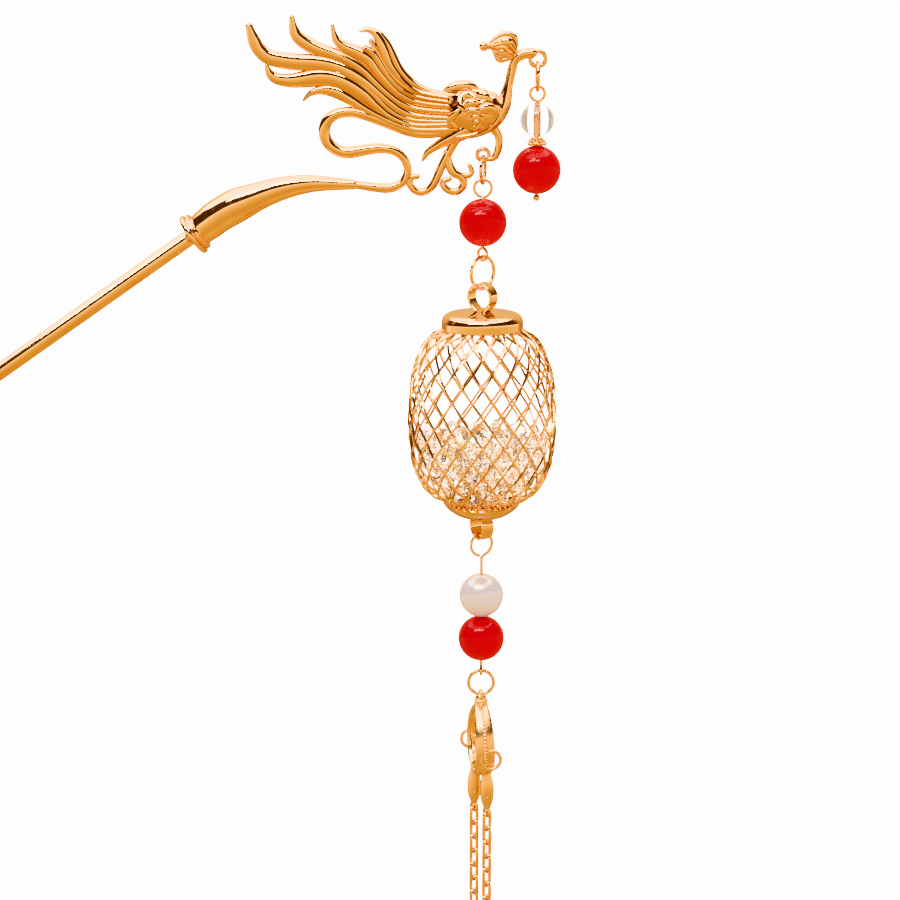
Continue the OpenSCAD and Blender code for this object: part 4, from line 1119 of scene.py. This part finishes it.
def make_charm():
    charm = Shape()
    charm.torus((0, 0, (RING_WIRE + CHARM_EYE_BAR) / 2 + FIT - CHARM_EYE_R), CHARM_EYE_R,
                CHARM_EYE_BAR)
    neck = smooth([Vector((0, 0, -z)) for z, d in CHARM_NECK], 5)
    charm.sweep(neck, [d for z, d in CHARM_NECK], sides=24)
    charm.collar((0, 0, -CHARM_H * 0.075), 0.95, 0.5)
    charm.ball((0.75, 0, -CHARM_H * 0.125), 1.15, 20, 12)
    grain_path = smooth([Vector((x * GRAIN_OUT, 0, -CHARM_MID + (z + CHARM_MID) * GRAIN_TALL))
                         for x, z in CHARM_RIM], 6)
    for side in (-1, 1):
        path = smooth([on_charm(p, side) for p in CHARM_RIM], 8)
        charm.sweep(path, [1.0], scaled(CHARM_DEPTHS, CHARM_T), sides=24)
        for points in CHARM_CURLS:
            path = smooth([on_charm(p, side) for p in points], 8)
            charm.sweep(path, [CURL_D], [CHARM_T * 0.7], sides=16)
        for p in grain_path[6:-6]:
            charm.ball(on_charm((p.x, p.z), side), GRAIN_D, 12, 8)
        charm.torus((side * CHARM_W * 0.52, side * EAR_D * 0.30, -CHARM_H * 0.70), EAR_D / 2,
                    LINK_WIRE, 90)
    leaves = Shape()
    top = -CHARM_H * 0.90
    eye_top = CHAIN_TOP_Z - CHARM_Z + 2 * LEAF_EYE_R + 0.1
    mid = top + (eye_top - top) * 0.45
    for x, y in LEAF_AT:
        path = smooth([Vector((x * 0.5, y * 0.5, top)), Vector((x * 0.8, y * 0.8, top - 0.6)),
                       Vector((x, y, mid)), Vector((x, y, (mid + eye_top) / 2)),
                       Vector((x, y, eye_top))], 6)
        leaves.sweep(path, LEAF_WIDTHS, sides=24)
        leaves.collar((x, y, mid + 0.5), 0.72, 0.4)
        leaves.ball((x, y - 0.98, (mid + eye_top) / 2), 0.6, 14, 10)
        leaves.torus((x, y, CHAIN_TOP_Z - CHARM_Z - (LINK_WIRE + FIT) / 2 + LEAF_EYE_R),
                    LEAF_EYE_R, LINK_WIRE, CHAIN_TURN + 90)
    whole = Shape()
    whole.join(charm, CHARM_TURN, (DROP_X, 0, CHARM_Z))
    # The leaves and their eyes keep their place while the charm is turned
    whole.join(leaves, 0, (DROP_X, 0, CHARM_Z))
    whole.gold("tassel_charm", "drop", GOLD_SATIN)


def make_chains():
    r = (LINK_W - LINK_WIRE) / 2
    run = LINK_L - LINK_W
    angles = [radians(180 * i / 19) for i in range(20)]
    row = [Vector((r * cos(a), 0, run / 2 + r * sin(a))) for a in angles]
    row += [Vector((-p.x, 0, -p.z)) for p in row]
    link = Shape()
    link.sweep(row, [LINK_WIRE], closed=True)
    step = LINK_L - 2 * LINK_WIRE - FIT
    for name, place in zip(("chain_left", "chain_right"), LEAF_AT):
        chain = Shape()
        for i in range(LINKS):
            chain.join(link, CHAIN_TURN + 90 * (i % 2),
                       (DROP_X + place[0], place[1], CHAIN_TOP_Z - (i + 0.5) * step))
        chain.gold(name, "drop", GOLD_WIRE)


make_charm()
make_chains()

# Stage: a wide pale floor far enough below for its shadows to fall out of the picture
FLOOR_Z = -0.30
FLOOR_R = 12.0
floor_mesh = bpy.data.meshes.new("floor")
floor_mesh.from_pydata([(x * FLOOR_R, y * FLOOR_R, FLOOR_Z)
                        for x, y in ((-1, -1), (1, -1), (1, 1), (-1, 1))], [], [(0, 1, 2, 3)])
floor_obj = new_object("floor", floor_mesh)
floor_mat, floor_tree, floor_shader = new_material("floor_pale")
feed(floor_tree, floor_shader, {
    "Base Color": (0.82, 0.82, 0.82, 1),
    "Roughness": 0.9,
    "Specular IOR Level": 0.0,
    "Emission Color": (1, 1, 1, 1),
    "Emission Strength": 3.0})
floor_obj.data.materials.append(floor_mat)
# The object mirrors the studio's table, not this backdrop
floor_obj.visible_glossy = False
floor_obj.visible_diffuse = False
floor_obj.visible_transmission = False

# Light. Diffuse surfaces get an even white light. Polished ones mirror a studio of bands round an
# axis that leans back: a wide soft light overhead, then a dark gap at the front and the sides or
# a tan wall at the back, and a tan table
DIFFUSE_LEVEL = 0.80
CLEAR_LEVEL = 3.4
CLEAR_BANDS = ((0.43, (1, 1, 1)), (0.47, (0.13, 0.095, 0.06)))
STUDIO_PEAK = 10.0
STUDIO_LEAN = radians(17.0)
STUDIO_AXIS = (-0.10, sin(STUDIO_LEAN), cos(STUDIO_LEAN))
BACK_FROM, BACK_TO = 0.35, 0.62
DARK_GAP = (0.065, 0.020, 0.016)
# Angle from the axis in degrees, and colour
STUDIO_FRONT = (
    (0, grey(8.0)), (32, grey(7.5)), (42, grey(10.0)), (46, DARK_GAP), (83, DARK_GAP),
    (88, (2.0, 1.9, 1.7)), (98, (1.25, 1.02, 0.72)), (112, (1.00, 0.75, 0.43)),
    (130, (0.86, 0.58, 0.27)), (152, (0.80, 0.50, 0.19)), (180, (1.0, 0.75, 0.4)),
)
STUDIO_BACK = (
    (0, grey(8.0)), (27, (6.0, 6.0, 5.8)), (36, (2.0, 1.8, 1.5)), (44, (1.0, 0.78, 0.50)),
    (66, (0.90, 0.62, 0.34)), (84, (0.62, 0.38, 0.20)), (104, (0.55, 0.32, 0.15)),
    (140, (0.82, 0.53, 0.21)), (180, (1.1, 0.85, 0.5)),
)
world = bpy.data.worlds.new("studio")
scene.world = world
world.use_nodes = True
sky = world.node_tree
sky.nodes.clear()
around = add_node(sky, "ShaderNodeTexCoord").outputs["Generated"]
towards = add_node(sky, "ShaderNodeVectorMath", {0: around, 1: STUDIO_AXIS}, "DOT_PRODUCT")
angle = add_node(sky, "ShaderNodeMath", {0: towards.outputs["Value"]}, "ARCCOSINE")
share = add_node(sky, "ShaderNodeMath", {0: angle.outputs[0], 1: pi}, "DIVIDE")
split = add_node(sky, "ShaderNodeSeparateXYZ", {0: around})


def bands(table):
    return ramp(sky, share.outputs[0],
                [(angle / 180, [c / STUDIO_PEAK for c in colour]) for angle, colour in table])


back = add_node(sky, "ShaderNodeMapRange", {
    "Value": split.outputs["Y"], "From Min": BACK_FROM, "From Max": BACK_TO})
studio = sky.nodes.new("ShaderNodeMix")
studio.data_type = "RGBA"
feed(sky, studio, {"Factor": back.outputs["Result"], "A": bands(STUDIO_FRONT),
                   "B": bands(STUDIO_BACK)})

# Through clear stones: white ahead, tan to the sides
side = add_node(sky, "ShaderNodeMath", {0: split.outputs["X"]}, "ABSOLUTE")
through = ramp(sky, side.outputs[0], CLEAR_BANDS)
rays = add_node(sky, "ShaderNodeLightPath")


def level_light(level, colour=(1, 1, 1, 1)):
    """A light of one level, white or in the given bands."""
    return add_node(sky, "ShaderNodeBackground", {"Strength": level, "Color": colour}).outputs[0]


def choose(kind, no, yes):
    """Chooses a light by the kind of ray."""
    return add_node(sky, "ShaderNodeMixShader", {
        "Fac": rays.outputs[kind], 1: no, 2: yes}).outputs[0]


plain = choose("Is Diffuse Ray", level_light(CLEAR_LEVEL), level_light(DIFFUSE_LEVEL))
mirror = choose("Is Glossy Ray", plain, level_light(STUDIO_PEAK, studio.outputs["Result"]))
clear = choose("Transmission Depth", mirror, level_light(CLEAR_LEVEL, through))
add_node(sky, "ShaderNodeOutputWorld", {"Surface": clear})

view = scene.view_settings
view.view_transform = "Khronos PBR Neutral"
view.look = "None"
view.exposure = 0.0
view.gamma = 1.0

# Key light: two bars high in front, for the small highlights of beads and wires
KEY_LEVEL = 45.0
KEY_AT = Vector((-0.045, -0.27, 0.37))
KEY_AIM = Vector((DROP_X * MM, 0, -0.03))
for name, shift, length, width, roll in (("key_bar", (0, 0, 0), 0.40, 0.05, 10),
                                         ("key_post", (-0.085, 0, 0.085), 0.26, 0.035, 52)):
    key = bpy.data.lights.new(name, "AREA")
    key.shape = "RECTANGLE"
    key.size, key.size_y = length, width
    key.energy = KEY_LEVEL * length * width * pi
    key_obj = new_object(name, key)
    key_obj.visible_diffuse = False
    key_obj.location = KEY_AT + Vector(shift)
    facing = (key_obj.location - KEY_AIM).to_track_quat("Z", "Y")
    rolled = facing @ Matrix.Rotation(radians(roll), 3, "Z").to_quaternion()
    key_obj.rotation_euler = rolled.to_euler()

# Camera at the photograph's angle
CAMERA_AT = (42.19, -330.0, 46.28)
CAMERA_TILT = 14.0
LENS = 81.2
lens = bpy.data.cameras.new("camera")
lens.sensor_width = 36.0
lens.lens = LENS
lens.clip_start = 0.01
lens.clip_end = 100.0
camera = new_object("camera", lens)
camera.location = Vector(CAMERA_AT) * MM
camera.rotation_euler = (radians(90 - CAMERA_TILT), 0, 0)
scene.camera = camera
